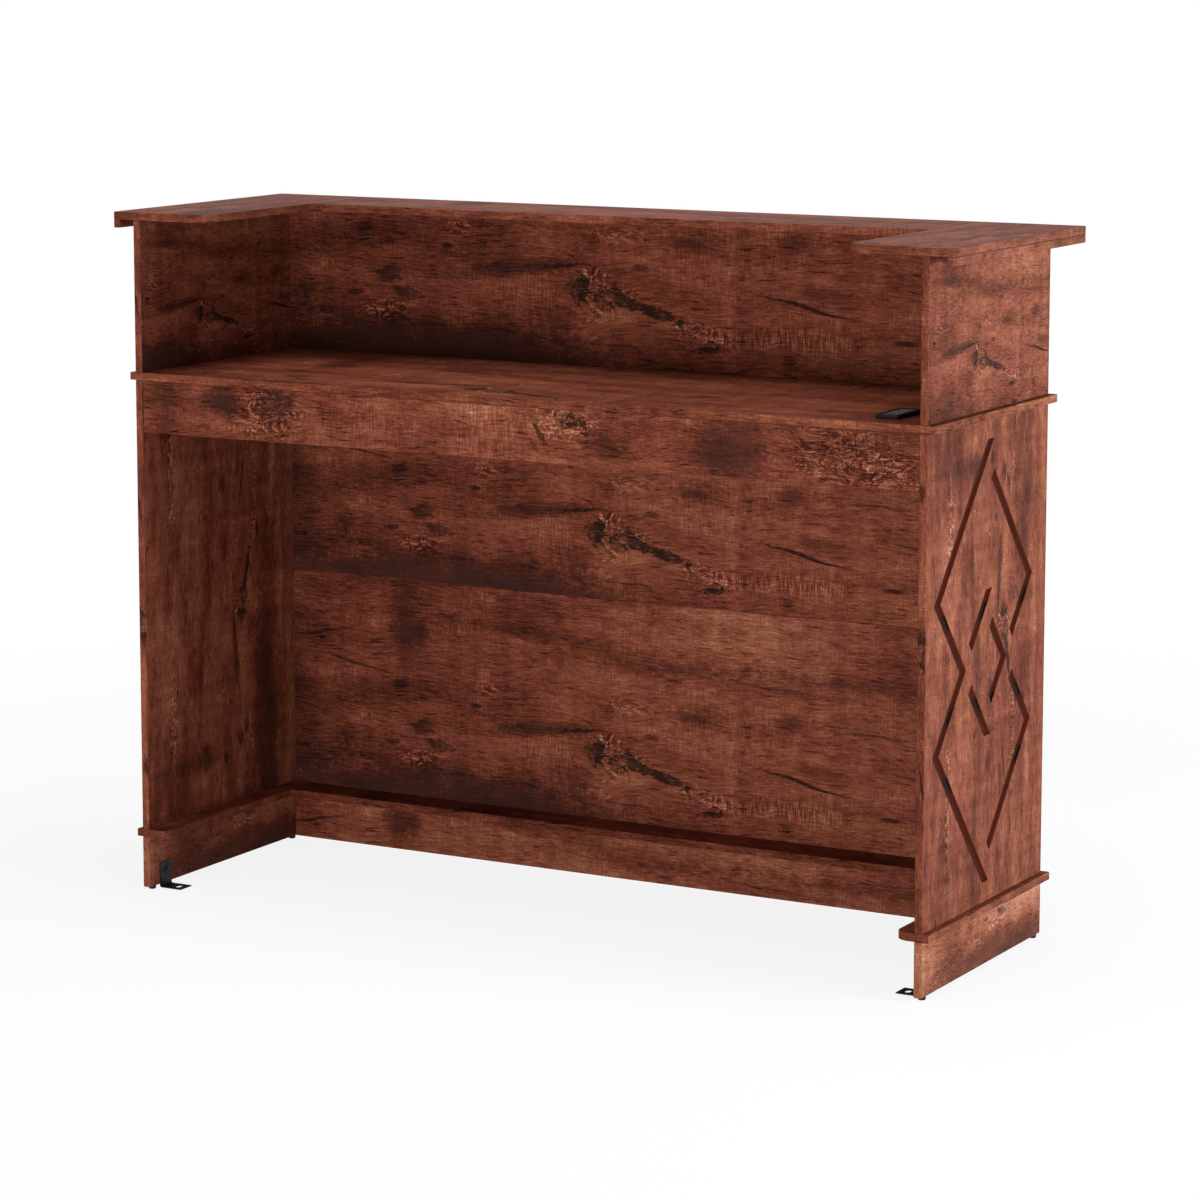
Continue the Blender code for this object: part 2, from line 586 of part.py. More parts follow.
def build_dowels():
    group = add_group("dowels")
    through = 2 * DOWEL_REACH + BOARD
    blind = DOWEL_REACH + DOWEL_BLIND
    blind_z = Z_COUNTER + (DOWEL_BLIND - DOWEL_REACH) / 2
    ends = {"front": STAFF_Y + DOWEL_INSET, "back": CUSTOMER_Y - DOWEL_INSET}
    for side, sign in SIDES.items():
        x = sign * SIDE_X
        for end, y in ends.items():
            tie(f"dowel_base_{side}_{end}", (f"base_{side}", f"base_ledge_{side}", f"lower_{side}_side"),
                (x, y, Z_LEDGE + BOARD / 2), through, group)
            tie(f"dowel_worktop_{side}_{end}", (f"lower_{side}_side", "worktop", f"upper_{side}_side"),
                (x, y, Z_WORKTOP + BOARD / 2), through, group)
            tie(f"dowel_counter_{side}_{end}", (f"upper_{side}_side", f"counter_{side}_cap"),
                (x, y, blind_z), blind, group)
        x = sign * (INNER_X - FRONT_DOWEL_INSET)
        tie(f"dowel_base_front_{side}", ("base_front", "base_ledge_front", "lower_front_panel_bottom"),
            (x, FRONT_Y, Z_LEDGE + BOARD / 2), through, group)
        tie(f"dowel_worktop_front_{side}", ("lower_front_panel_top", "worktop", "upper_front_panel"),
            (x, FRONT_Y, Z_WORKTOP + BOARD / 2), through, group)
        tie(f"dowel_counter_front_{side}", ("upper_front_panel", "counter_front_board"),
            (x, FRONT_Y, blind_z), blind, group)
        apron_x = sign * (INNER_X + (DOWEL_BLIND - DOWEL_REACH) / 2)
        apron_y = STAFF_Y + APRON_SETBACK + BOARD / 2
        tie(f"dowel_apron_{side}", ("apron", f"lower_{side}_side"),
            (apron_x, apron_y, Z_WORKTOP - APRON_HEIGHT / 2), blind, group, (1, 0, 0))


def main():
    clear_scene()
    build_base()
    build_lower_tier()
    build_worktop()
    build_upper_tier()
    build_counter()
    build_feet()
    build_brackets()
    build_outlet()
    build_dowels()
    for name, tools in bores.items():
        cut(pieces[name], "bores", tools)


main()
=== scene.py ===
# %% [markdown]
# # A reception desk in rustic laminate board
# The desk has a lower tier, a worktop with a power outlet, and an upper tier under a counter that wraps
# round three sides. The CAD model already has every board at its size and place, so this lesson keeps the
# boards and spends its effort on what the eye sees: one printed sheet with knots and saw marks, laid over
# every board in its own direction, and small hardware that is worth a closer look.

import math

import bmesh
import bpy
from mathutils import Matrix, Vector


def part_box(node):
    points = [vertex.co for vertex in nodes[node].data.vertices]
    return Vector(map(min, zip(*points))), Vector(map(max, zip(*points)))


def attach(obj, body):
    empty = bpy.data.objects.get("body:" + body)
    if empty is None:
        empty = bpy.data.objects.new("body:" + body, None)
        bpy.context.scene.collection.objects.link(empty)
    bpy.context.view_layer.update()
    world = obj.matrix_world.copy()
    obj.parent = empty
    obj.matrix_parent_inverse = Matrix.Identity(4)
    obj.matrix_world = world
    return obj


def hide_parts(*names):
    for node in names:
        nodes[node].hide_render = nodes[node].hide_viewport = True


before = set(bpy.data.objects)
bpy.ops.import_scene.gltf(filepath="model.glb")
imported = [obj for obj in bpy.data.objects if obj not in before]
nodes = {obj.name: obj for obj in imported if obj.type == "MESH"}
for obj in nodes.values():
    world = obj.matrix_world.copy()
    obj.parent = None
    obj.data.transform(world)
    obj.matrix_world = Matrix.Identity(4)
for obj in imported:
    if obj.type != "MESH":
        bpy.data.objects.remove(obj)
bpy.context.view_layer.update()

# %% [markdown]
# ## The camera
# The photograph looks down a little on the staff side, from the right. Its uprights stand almost straight,
# as with a lens that is shifted rather than tilted. A large shift would push the desk out of the other
# views, which keep it, so most of the look downwards is tilt and only a tenth of the frame is shift.

# %% Camera at the photograph's angle
LOOK_DOWN = 8.0441
LOOK_LEFT = 29.3805
camera = bpy.data.objects.new("photo_camera", bpy.data.cameras.new("photo_camera"))
bpy.context.scene.collection.objects.link(camera)
camera.location = (2.8938, -5.1517, 1.4962)
camera.rotation_euler = (math.radians(90 - LOOK_DOWN), 0, math.radians(LOOK_LEFT))
camera.data.sensor_width = 36.0
camera.data.lens = 119.242
camera.data.shift_x = 0.01341
camera.data.shift_y = -0.1
bpy.context.scene.camera = camera
bpy.context.scene.view_settings.view_transform = "Standard"
print("camera", [round(c, 3) for c in camera.location], "lens", camera.data.lens)

# %% [markdown]
# ## Short words for node trees
# A material is a tree of small steps. Written out in full, each step takes several lines, so a helper class
# gives each kind of step one short call that hands back the socket the next step takes. A value may be a
# number or the socket of an earlier step.


# %% A recipe of shader steps
class Recipe:
    """A node tree built by short calls, each of which makes one step and returns its outcome."""

    def __init__(self, tree):
        self.tree = tree

    def feed(self, socket, value):
        if isinstance(value, bpy.types.NodeSocket):
            self.tree.links.new(value, socket)
        else:
            socket.default_value = value

    def step(self, kind, given=None, **settings):
        made = self.tree.nodes.new(kind)
        for name, value in settings.items():
            setattr(made, name, value)
        for name, value in (given or {}).items():
            self.feed(made.inputs[name], value)
        return made

    def sum(self, operation, a, b=0.0, c=0.0):
        made = self.step("ShaderNodeMath", {0: a, 1: b, 2: c}, operation=operation)
        return made.outputs[0]

    def vector(self, operation, a, b=(0.0, 0.0, 0.0), c=(0.0, 0.0, 0.0)):
        made = self.step("ShaderNodeVectorMath", {0: a, 1: b, 2: c}, operation=operation)
        return made.outputs["Value" if operation == "LENGTH" else "Vector"]

    def noise(self, place, stretch, detail=2.0, rough=0.5, bend=0.0, colour=False, flat=False):
        stretched = self.vector("MULTIPLY", place, stretch)
        given = {"Vector": stretched, "Scale": 1.0, "Detail": detail, "Roughness": rough, "Distortion": bend}
        made = self.step("ShaderNodeTexNoise", given, noise_dimensions="2D" if flat else "3D")
        return made.outputs["Color" if colour else "Fac"]

    def limits(self, value, low, high, to_low=0.0, to_high=1.0):
        given = {0: value, 1: low, 2: high, 3: to_low, 4: to_high}
        return self.step("ShaderNodeMapRange", given, interpolation_type="SMOOTHSTEP").outputs[0]

    def tint(self, share, a, b, way="MIX"):
        made = self.step("ShaderNodeMix", data_type="RGBA", blend_type=way)
        for index, value in ((0, share), (6, a), (7, b)):
            self.feed(made.inputs[index], value)
        return made.outputs[2]

    def ramp(self, value, stops):
        made = self.step("ShaderNodeValToRGB", {"Fac": value})
        while len(made.color_ramp.elements) < len(stops):
            made.color_ramp.elements.new(0.5)
        for element, (place, colour) in zip(made.color_ramp.elements, stops):
            element.position = place
            element.color = (*colour, 1.0)
        return made.outputs["Color"]


def start_material(name):
    material = bpy.data.materials.new(name)
    material.use_nodes = True
    material.node_tree.nodes.clear()
    return material, Recipe(material.node_tree)


print("recipe ready")

# %% [markdown]
# ## Floor and light
# The photograph is a studio picture on white. The floor is a plain pale sheet that keeps the desk's shadow:
# towards the camera it glows just enough to read as white where nothing shades it, and further out it
# passes into the white of the world. Seen by the desk it is only a pale floor. The light is soft: a low
# panel in front, a cooler one on the right, a weak one above, and an even sky.


# %% White world, pale floor and three soft panels
def seen_directly(recipe):
    """1 for what the camera sees straight or in gloss and glass, 0 for what only lights the desk."""
    path = recipe.step("ShaderNodeLightPath").outputs
    shown = recipe.sum("MAXIMUM", path["Is Camera Ray"], path["Is Glossy Ray"])
    return recipe.sum("MAXIMUM", shown, path["Is Transmission Ray"])


SKY_LEVEL = 0.20
FLOOR_SHADE = (0.18, 0.18, 0.18, 1)
FLOOR_GLOW = 0.86
WHITE_FROM = 1.2
WHITE_TO = 2.6
FLOOR_REACH = 14.0
FLOOR_LEVEL = -0.0002
world = bpy.data.worlds.new("studio")
world.use_nodes = True
world.node_tree.nodes.clear()
sky = Recipe(world.node_tree)
light = sky.step("ShaderNodeBackground", {"Color": (1, 1, 1, 1), "Strength": SKY_LEVEL}).outputs[0]
white = sky.step("ShaderNodeBackground", {"Color": (1, 1, 1, 1), "Strength": 1.0}).outputs[0]
shown = sky.step("ShaderNodeMixShader", {0: seen_directly(sky), 1: light, 2: white}).outputs[0]
sky.step("ShaderNodeOutputWorld", {"Surface": shown})
bpy.context.scene.world = world

floor_finish, pale = start_material("pale_floor")
spot = pale.step("ShaderNodeTexCoord").outputs["Object"]
mottle = pale.noise(spot, (3.0, 3.0, 3.0), 3.0)
pale_tone = pale.ramp(mottle, ((0.3, (0.88, 0.88, 0.88)), (0.7, (0.92, 0.92, 0.92))))
plain = pale.step("ShaderNodeBsdfDiffuse", {"Color": pale_tone}).outputs[0]
matt = pale.step("ShaderNodeBsdfDiffuse", {"Color": FLOOR_SHADE}).outputs[0]
glow = pale.step("ShaderNodeEmission", {"Color": (1, 1, 1, 1), "Strength": FLOOR_GLOW}).outputs[0]
near = pale.step("ShaderNodeAddShader", {0: matt, 1: glow}).outputs[0]
far = pale.step("ShaderNodeEmission", {"Color": (1, 1, 1, 1), "Strength": 1.0}).outputs[0]
away = pale.limits(pale.vector("LENGTH", spot), WHITE_FROM, WHITE_TO)
white_floor = pale.step("ShaderNodeMixShader", {0: away, 1: near, 2: far}).outputs[0]
both = pale.step("ShaderNodeMixShader", {0: seen_directly(pale), 1: plain, 2: white_floor}).outputs[0]
pale.step("ShaderNodeOutputMaterial", {"Surface": both})

floor_mesh = bpy.data.meshes.new("floor")
quarters = ((-1, -1), (1, -1), (1, 1), (-1, 1))
corners = [(x * FLOOR_REACH, y * FLOOR_REACH, FLOOR_LEVEL) for x, y in quarters]
floor_mesh.from_pydata(corners, [], [(0, 1, 2, 3)])
floor_mesh.materials.append(floor_finish)
floor = bpy.data.objects.new("floor", floor_mesh)
bpy.context.scene.collection.objects.link(floor)


def soft_panel(name, place, target, size, power, colour=(1.0, 1.0, 1.0)):
    panel = bpy.data.lights.new(name, "AREA")
    panel.color = colour
    panel.shape = "RECTANGLE"
    panel.size, panel.size_y = size
    panel.energy = power
    lamp = bpy.data.objects.new(name, panel)
    lamp.location = place
    lamp.rotation_euler = (Vector(target) - Vector(place)).to_track_quat("-Z", "Y").to_euler()
    bpy.context.scene.collection.objects.link(lamp)


soft_panel("front_panel", (0.5, -5.0, 0.45), (0.0, 0.0, 0.40), (3.6, 0.9), 124.0)
soft_panel("right_panel", (4.8, 0.7, 0.75), (0.6, 0.0, 0.5), (2.6, 1.4), 245.0, (0.80, 0.99, 1.07))
soft_panel("top_panel", (0.3, -0.4, 4.2), (0.2, -0.4, 0.5), (3.0, 1.6), 66.0)
print("floor, world and panels set")

# %% [markdown]
# ## The printed sheet
# Laminate is a printed paper under a clear resin skin. One long print serves every board here, so the same
# big knot comes back on each of them. That is why the print is one node group with its own sheet coordinates,
# along the grain and across it, and each board says how it lies on the sheet and how light it comes out;
# that lightness is painted light and shade.
# An image would be quicker, but it would carry someone's picture and blur up close.
#
# Most of the print is noise, stretched along the grain at several scales. What a noise can't give is the
# arrangement: the knots, cracks and smudges are ragged ellipses at chosen places on the sheet.


# %% One ragged mark on the sheet
def make_mark_group():
    """A soft-edged, ragged ellipse: 1 inside and 0 outside."""
    tree = bpy.data.node_groups.new("ragged_mark", "ShaderNodeTree")
    for name, kind in (("Place", "Vector"), ("Middle", "Vector"), ("Reach", "Vector"), ("Turn", "Float"),
                       ("Ragged", "Float"), ("Edge", "Float")):
        tree.interface.new_socket(name, in_out="INPUT", socket_type=f"NodeSocket{kind}")
    tree.interface.new_socket("Mask", in_out="OUTPUT", socket_type="NodeSocketFloat")
    recipe = Recipe(tree)
    given = recipe.step("NodeGroupInput").outputs
    offset = recipe.vector("SUBTRACT", given["Place"], given["Middle"])
    turned = recipe.step("ShaderNodeVectorRotate", {"Vector": offset, "Angle": given["Turn"]},
                         rotation_type="Z_AXIS").outputs[0]
    distance = recipe.vector("LENGTH", recipe.vector("DIVIDE", turned, given["Reach"]))
    ragged = recipe.sum("ADD", distance, given["Ragged"])
    outer = recipe.sum("ADD", 1.0, given["Edge"])
    inner = recipe.sum("SUBTRACT", 1.0, given["Edge"])
    mask = recipe.limits(ragged, outer, inner)
    recipe.step("NodeGroupOutput", {"Mask": mask})
    return tree


MARK = make_mark_group()


def lay_marks(recipe, place, marks, ragged, edge):
    """Adds up marks given as (along, across, half length, half height, turn in degrees, strength), in mm."""
    total = 0.0
    for along, across, half_length, half_height, turn, strength in marks:
        given = {"Place": place, "Middle": (along / 1000, across / 1000, 0.0), "Ragged": ragged, "Edge": edge,
                 "Reach": (half_length / 1000, half_height / 1000, 1.0), "Turn": -math.radians(turn)}
        mark = recipe.step("ShaderNodeGroup", given, node_tree=MARK)
        total = recipe.sum("MULTIPLY_ADD", mark.outputs[0], strength, total)
    return total


print("mark group with", len(MARK.nodes), "steps")

# %% [markdown]
# The lists below are the sheet's plan in millimetres. The places were read off the boards, and the
# strengths were tuned until each board's average tone came close to the photograph's. Rows near 100 to 440
# show on the front boards, and rows near 807 on the apron. A negative strength makes a mark light. The dark
# band and the two broad zones are lists of their own, because they aren't equally strong on every board.

# %% Plan of the sheet
# Most smudges are print; the first, a dark strip down the left end of the front boards, is painted shade in
# the inside corner by the left side.
SMUDGES_AND_CORNER_SHADE = (
    (-655, 230, 60, 150, 0, 0.12), (-432, 405, 24, 75, 0, 0.14), (-480, 500, 110, 80, 0, 0.09),
    (-425, 352, 28, 20, 0, 0.18), (-133, 151, 38, 22, -10, 0.20), (80, 266, 42, 15, 0, 0.16),
    (-60, 366, 290, 13, -3, 0.13), (30, 345, 100, 11, 0, 0.12), (312, 209, 36, 9, -4, 0.14),
    (-558, 172, 20, 17, 0, 0.16), (250, 276, 19, 13, 0, 0.18), (-185, 225, 115, 10, 6, 0.20),
    (450, 350, 150, 12, 0, 0.15), (-496, 824, 28, 22, 0, 0.26), (-410, 820, 28, 26, 25, 0.28),
    (-610, 807, 24, 60, 0, 0.14), (160, 807, 26, 20, -20, 0.20), (362, 800, 54, 40, 20, 0.26),
    (30, 807, 150, 60, 0, -0.12), (-483, 350, 28, 65, 0, -0.09), (-260, 172, 120, 36, 0, -0.08),
    (100, 372, 520, 50, 0, -0.03), (535, 807, 62, 34, 0, 0.14), (300, 330, 240, 16, -2, 0.14),
    (-130, 500, 140, 70, 0, -0.07), (-165, 807, 55, 40, 0, 0.09), (615, 807, 45, 40, 0, 0.08),
)
# The dark band is print that comes back on other boards; at the bottom left of the front boards it is also
# painted shade in the inside corner.
BAND_AND_CORNER_SHADE = ((-390, 86, 330, 44, 0, 0.34),)
# The two broad zones are painted shade over the left part of a board and painted light towards its right.
SHADE_AND_LIGHT_ZONES = ((-480, 260, 380, 340, 0, 0.09), (170, 260, 190, 340, 0, -0.085))
KNOTS = (
    (-79, 197, 20, 21, 0, 1.0), (-33, 187, 27, 15, -8, 1.0), (20, 170, 52, 8, -16, 1.0),
    (-402, 207, 19, 12, -8, 0.85), (-368, 177, 25, 9, -5, 0.85), (-450, 271, 12, 8, 0, 0.9),
    (-304, 252, 10, 4, 0, 0.9), (121, 123, 20, 5, 5, 1.0), (-454, 178, 11, 4, 0, 0.8),
    (12, 230, 11, 4.5, -8, 0.7), (104, 834, 26, 10, 0, 0.9), (54, 812, 21, 4.5, -45, 0.8),
    (40, 795, 13, 3.5, -50, 0.6), (433, 142, 18, 4, 10, 0.8), (75, 264, 24, 7, 0, 0.5),
    (141, 85, 20, 5, 0, 0.9),
)
CRACKLE = (
    (-65, 222, 22, 13, 0, 1.0), (-62, 160, 24, 9, 0, 0.7), (100, 145, 50, 12, -12, 0.9),
    (-408, 150, 42, 15, 0, 0.9), (-425, 807, 60, 40, 0, 0.8), (535, 807, 74, 46, 0, 0.75),
    (630, 790, 60, 30, 0, 0.6), (100, 828, 54, 20, 0, 0.8), (-292, 281, 20, 11, 0, 0.7),
    (-20, 277, 46, 12, 0, 0.6), (-45, 190, 40, 22, 0, 0.7), (-325, 501, 120, 13, 0, 1.0),
    (330, 498, 150, 11, 0, 0.9), (20, 500, 60, 8, 0, 0.4),
)
HEARTS = (
    (-55, 201, 8, 9, 30, 1.0), (-38, 188, 7, 7, -20, 0.9), (-88, 188, 4, 8, 0, 0.6), (-66, 184, 6, 4, 0, 0.8),
    (-358, 179, 8, 3, 0, 0.5), (98, 834, 12, 3, 0, 0.7), (-18, 180, 9, 3, -30, 0.6),
)
CRACKS = (
    (268, 191, 60, 2.6, -12, 1.0), (310, 181, 50, 2.2, -10, 0.9), (-118, 232, 36, 3.6, 9, 1.0),
    (-525, 300, 62, 2.4, -12, 0.8), (-600, 345, 52, 2.4, 10, 0.8), (390, 268, 50, 2.0, 4, 0.7),
    (470, 214, 60, 1.8, -8, 0.7), (-240, 268, 44, 1.8, 3, 0.6), (-20, 118, 50, 1.8, -3, 0.6),
    (210, 330, 70, 1.6, -4, 0.6), (-330, 130, 40, 1.8, 5, 0.6),
)
SAWN = (
    (-175, 182, 44, 30, 0, 0.6), (238, 137, 100, 14, 0, 1.2), (-40, 805, 60, 44, 0, 0.6),
    (150, 260, 120, 40, 0, 0.3), (-250, 807, 90, 50, 0, 0.3),
)
MIDDLE_TONE = 0.488
SMUDGE_EDGE = 0.75
SMUDGE_RAGGED = 0.7
KNOT_COLOUR = (0.016, 0.0065, 0.0045, 1)
# Tint of the smudges, which are print and painted corner shade.
SMUDGE_AND_SHADE_COLOUR = (0.085, 0.0300, 0.0220, 1)
print(len(SMUDGES_AND_CORNER_SHADE + BAND_AND_CORNER_SHADE + SHADE_AND_LIGHT_ZONES + KNOTS + CRACKLE + HEARTS + CRACKS + SAWN), "marks on the sheet")

# %% [markdown]
# The print itself: the place on the sheet goes in, and colour, roughness and relief come out. The tone is
# built first, as one number from dark to light, and a colour ramp turns it into red-brown wood. Knots,
# cracks and light flecks are laid over that.


# %% The print
def make_print_group():
    """Place on the sheet to colour, roughness and relief, with a board's painted light and shade."""
    tree = bpy.data.node_groups.new("rustic_print", "ShaderNodeTree")
    for name, kind in (("Place", "Vector"), ("Lift", "Float"), ("Zones", "Float"), ("Band", "Float")):
        tree.interface.new_socket(name, in_out="INPUT", socket_type=f"NodeSocket{kind}")
    for name, kind in (("Colour", "Color"), ("Roughness", "Float"), ("Relief", "Float")):
        tree.interface.new_socket(name, in_out="OUTPUT", socket_type=f"NodeSocket{kind}")
    recipe = Recipe(tree)
    given = recipe.step("NodeGroupInput").outputs
    flat = given["Place"]

    sway = recipe.noise(flat, (5, 9, 1), 2.0, colour=True, flat=True)
    sway = recipe.vector("MULTIPLY_ADD", sway, (0.05, 0.026, 0.0), (-0.025, -0.013, 0.0))
    place = recipe.vector("ADD", flat, sway)
    ragged = recipe.sum("MULTIPLY_ADD", recipe.noise(place, (85, 150, 1), 4.0, 0.7, flat=True), 2.4, -1.2)

    bands = recipe.noise(place, (2.8, 17, 1), 2.0, flat=True)
    clouds = recipe.noise(place, (8, 26, 1), 4.0, 0.62, flat=True)
    fibres = recipe.noise(place, (38, 290, 1), 3.0, 0.62, flat=True)
    grain = recipe.noise(place, (120, 760, 1), 2.0, 0.6, flat=True)
    specks = recipe.noise(flat, (300, 380, 1), 1.0, flat=True)
    comb = recipe.noise(flat, (330, 34, 1), 2.0, 0.55, flat=True)
    columns = recipe.noise(flat, (34, 2.5, 1), 1.0, flat=True)
    tone = MIDDLE_TONE
    for layer, share in ((bands, 0.40), (clouds, 0.42), (fibres, 0.56), (grain, 0.38), (specks, 0.20),
                         (comb, 0.12), (columns, 0.16)):
        tone = recipe.sum("MULTIPLY_ADD", recipe.sum("SUBTRACT", layer, 0.5), share, tone)

    soft = recipe.sum("MULTIPLY", ragged, SMUDGE_RAGGED)
    # Smudges and the dark band darken the tone: print, with painted shade at the left end of the front
    # boards.
    smudge_and_shade = lay_marks(recipe, place, SMUDGES_AND_CORNER_SHADE, soft, SMUDGE_EDGE)
    band = lay_marks(recipe, place, BAND_AND_CORNER_SHADE, soft, SMUDGE_EDGE)
    smudge_and_shade = recipe.sum("MULTIPLY_ADD", band, given["Band"], smudge_and_shade)
    tone = recipe.sum("SUBTRACT", tone, smudge_and_shade)
    # Painted shade and light: the broad zones darken the left part of a board and lighten its middle and
    # right.
    zones = lay_marks(recipe, place, SHADE_AND_LIGHT_ZONES, soft, SMUDGE_EDGE)
    tone = recipe.sum("SUBTRACT", tone, recipe.sum("MULTIPLY", zones, given["Zones"]))

    saw_zone = lay_marks(recipe, place, SAWN, ragged, 0.5)
    saw_zone = recipe.sum("MAXIMUM", saw_zone, recipe.limits(clouds, 0.54, 0.68, 0.0, 0.45))
    saw_cuts = recipe.limits(comb, 0.42, 0.62, -0.08, 0.16)
    tone = recipe.sum("MULTIPLY_ADD", saw_cuts, saw_zone, tone)

    swirl = recipe.noise(place, (24, 40, 1), 3.0, 0.6, 0.4, flat=True)
    contour = recipe.sum("SINE", recipe.sum("MULTIPLY", swirl, 40.0))
    crackle = lay_marks(recipe, place, CRACKLE, ragged, 0.4)
    broken = recipe.sum("MULTIPLY", crackle, recipe.limits(fibres, 0.36, 0.60, 0.25, 1.0))
    lit = recipe.sum("MULTIPLY", recipe.limits(contour, 0.1, 0.95), broken)
    veins = recipe.sum("MULTIPLY", recipe.limits(contour, -0.3, -0.95), crackle)
    tone = recipe.sum("MULTIPLY_ADD", lit, 0.38, tone)
    tone = recipe.sum("MULTIPLY_ADD", veins, -0.26, tone)

    dashes = recipe.limits(recipe.noise(place, (26, 330, 1), 2.0, 0.55, flat=True), 0.62, 0.70)
    dashes = recipe.sum("MULTIPLY", dashes, recipe.limits(clouds, 0.58, 0.44))
    tone = recipe.sum("MULTIPLY_ADD", dashes, -0.30, tone)
    # The board's lift: painted light and shade over the whole board.
    tone = recipe.sum("ADD", tone, given["Lift"])
    colour = recipe.ramp(tone, (
        (0.00, (0.014, 0.0044, 0.0030)), (0.20, (0.052, 0.0130, 0.0072)), (0.40, (0.140, 0.0345, 0.0175)),
        (0.58, (0.245, 0.0680, 0.0355)), (0.78, (0.390, 0.1450, 0.0770)), (1.00, (0.600, 0.3000, 0.1750))))
    warmth = recipe.noise(place, (4.5, 15, 1), 3.0, 0.6, flat=True)
    hue = recipe.ramp(warmth, ((0.32, (1.0, 0.93, 1.04)), (0.68, (1.0, 1.00, 0.96))))
    colour = recipe.tint(1.0, colour, hue, "MULTIPLY")
    # The smudges take a dark red-brown tint, over print and painted shade alike.
    colour = recipe.tint(recipe.limits(smudge_and_shade, 0.02, 0.34, 0.0, 0.45), colour, SMUDGE_AND_SHADE_COLOUR)

    knots = lay_marks(recipe, place, KNOTS, ragged, 0.22)
    cracks = lay_marks(recipe, place, CRACKS, recipe.sum("MULTIPLY", ragged, 0.8), 0.35)
    hearts = lay_marks(recipe, place, HEARTS, ragged, 0.35)
    rings = recipe.limits(contour, 0.5, 0.95, 0.0, 0.4)
    gaps = recipe.sum("MULTIPLY_ADD", recipe.sum("MAXIMUM", rings, hearts), -0.85, 1.0)
    dark = recipe.sum("MULTIPLY", recipe.sum("MAXIMUM", knots, cracks), gaps)
    dark = recipe.sum("MINIMUM", dark, 1.0)
    colour = recipe.tint(recipe.sum("MULTIPLY", dark, 0.93), colour, KNOT_COLOUR)

    rough = recipe.sum("MULTIPLY_ADD", fibres, 0.16, 0.54)
    relief = recipe.noise(flat, (60, 700, 1), 2.0, 0.6, flat=True)
    recipe.step("NodeGroupOutput", {"Colour": colour, "Roughness": rough, "Relief": relief})
    return tree


PRINT = make_print_group()
print("print group with", len(PRINT.nodes), "steps")

# %% [markdown]
# ## Laying the print on a board
# A board's faces are cut from the sheet, and its edges are covered with narrow strips of it, grain along
# the edge. A group finds out which of the two a point is on from the direction that the surface faces. The
# front boards carry the print larger than the end boards, and the upper front panel a little larger still,
# so a board's lay has a scale too. After the scale comes the board's lift, which makes it lighter or darker:
# painted light and shade for how brightly the board is lit.


# %% Faces and edge strips
EDGE_FACING = 0.7
EDGE_STRIP_ROW = 1.24


def make_lay_group():
    """Turns a place on a board, in board axes, into a place on the sheet."""
    tree = bpy.data.node_groups.new("lay_on_board", "ShaderNodeTree")
    for name in ("Board", "Facing"):
        tree.interface.new_socket(name, in_out="INPUT", socket_type="NodeSocketVector")
    tree.interface.new_socket("Place", in_out="OUTPUT", socket_type="NodeSocketVector")
    recipe = Recipe(tree)
    given = recipe.step("NodeGroupInput").outputs
    along, across, through = recipe.step("ShaderNodeSeparateXYZ", {0: given["Board"]}).outputs
    facing = recipe.vector("ABSOLUTE", given["Facing"])
    end, side, _ = recipe.step("ShaderNodeSeparateXYZ", {0: facing}).outputs
    on_end = recipe.sum("GREATER_THAN", end, EDGE_FACING)
    on_edge = recipe.sum("MAXIMUM", on_end, recipe.sum("GREATER_THAN", side, EDGE_FACING))
    run = recipe.step("ShaderNodeMix", {0: on_end, 2: along, 3: across}).outputs[0]
    strip = recipe.sum("ADD", through, EDGE_STRIP_ROW)
    rise = recipe.step("ShaderNodeMix", {0: on_edge, 2: across, 3: strip}).outputs[0]
    place = recipe.step("ShaderNodeCombineXYZ", {0: run, 1: rise}).outputs[0]
    recipe.step("NodeGroupOutput", {"Place": place})
    return tree


LAY = make_lay_group()
print("lay group with", len(LAY.nodes), "steps")

# %% [markdown]
# ## Laminate for each board
# The laminate looks up the print at the board's lay and adds a fine relief. The two grooved boards get a dark
# stain in their routed lines, told from the faces by how far out a point lies.

# %% The laminate and its groove stain
GRAIN_ALONG_X_UPRIGHT = (-90, 0, 0)
GRAIN_ALONG_X_LEVEL = (0, 0, 0)
GRAIN_ALONG_Y_UPRIGHT = (-90, -90, 0)
GRAIN_ALONG_Y_LEVEL = (0, 0, -90)
GRAIN_UP = (180, -90, 0)
GRAIN_DOWN = (180, 90, 0)
END_SCALE = 1.587
UPPER_FRONT_SCALE = 0.917
BOARD_GLOSS = 0.04
COUNTER_GLOSS = 0.08
RELIEF_DEPTH = 0.00025
RELIEF_STRENGTH = 0.5
GROOVE_MIDDLE = (0.65725, -0.025, 0.4475)
GROOVE_REACH = (0.0049, 0.19, 0.3375)
GROOVE_DARK_LEVELS = (0.525, 0.390, 0.293)
GROOVE_DARK_REACH = 0.018
GROOVE_DARK_CORE = 0.006
GROOVE_DARK_SHARE = 0.85
GROOVE_DARK_COLOUR = (0.014, 0.0055, 0.0040, 1)
GROOVE_WALL_FACING = 0.5
# Painted light: a pale colour on the groove walls, as if they were lit.
GROOVE_WALL_LIGHT_COLOUR = (0.24, 0.0490, 0.0250, 1)


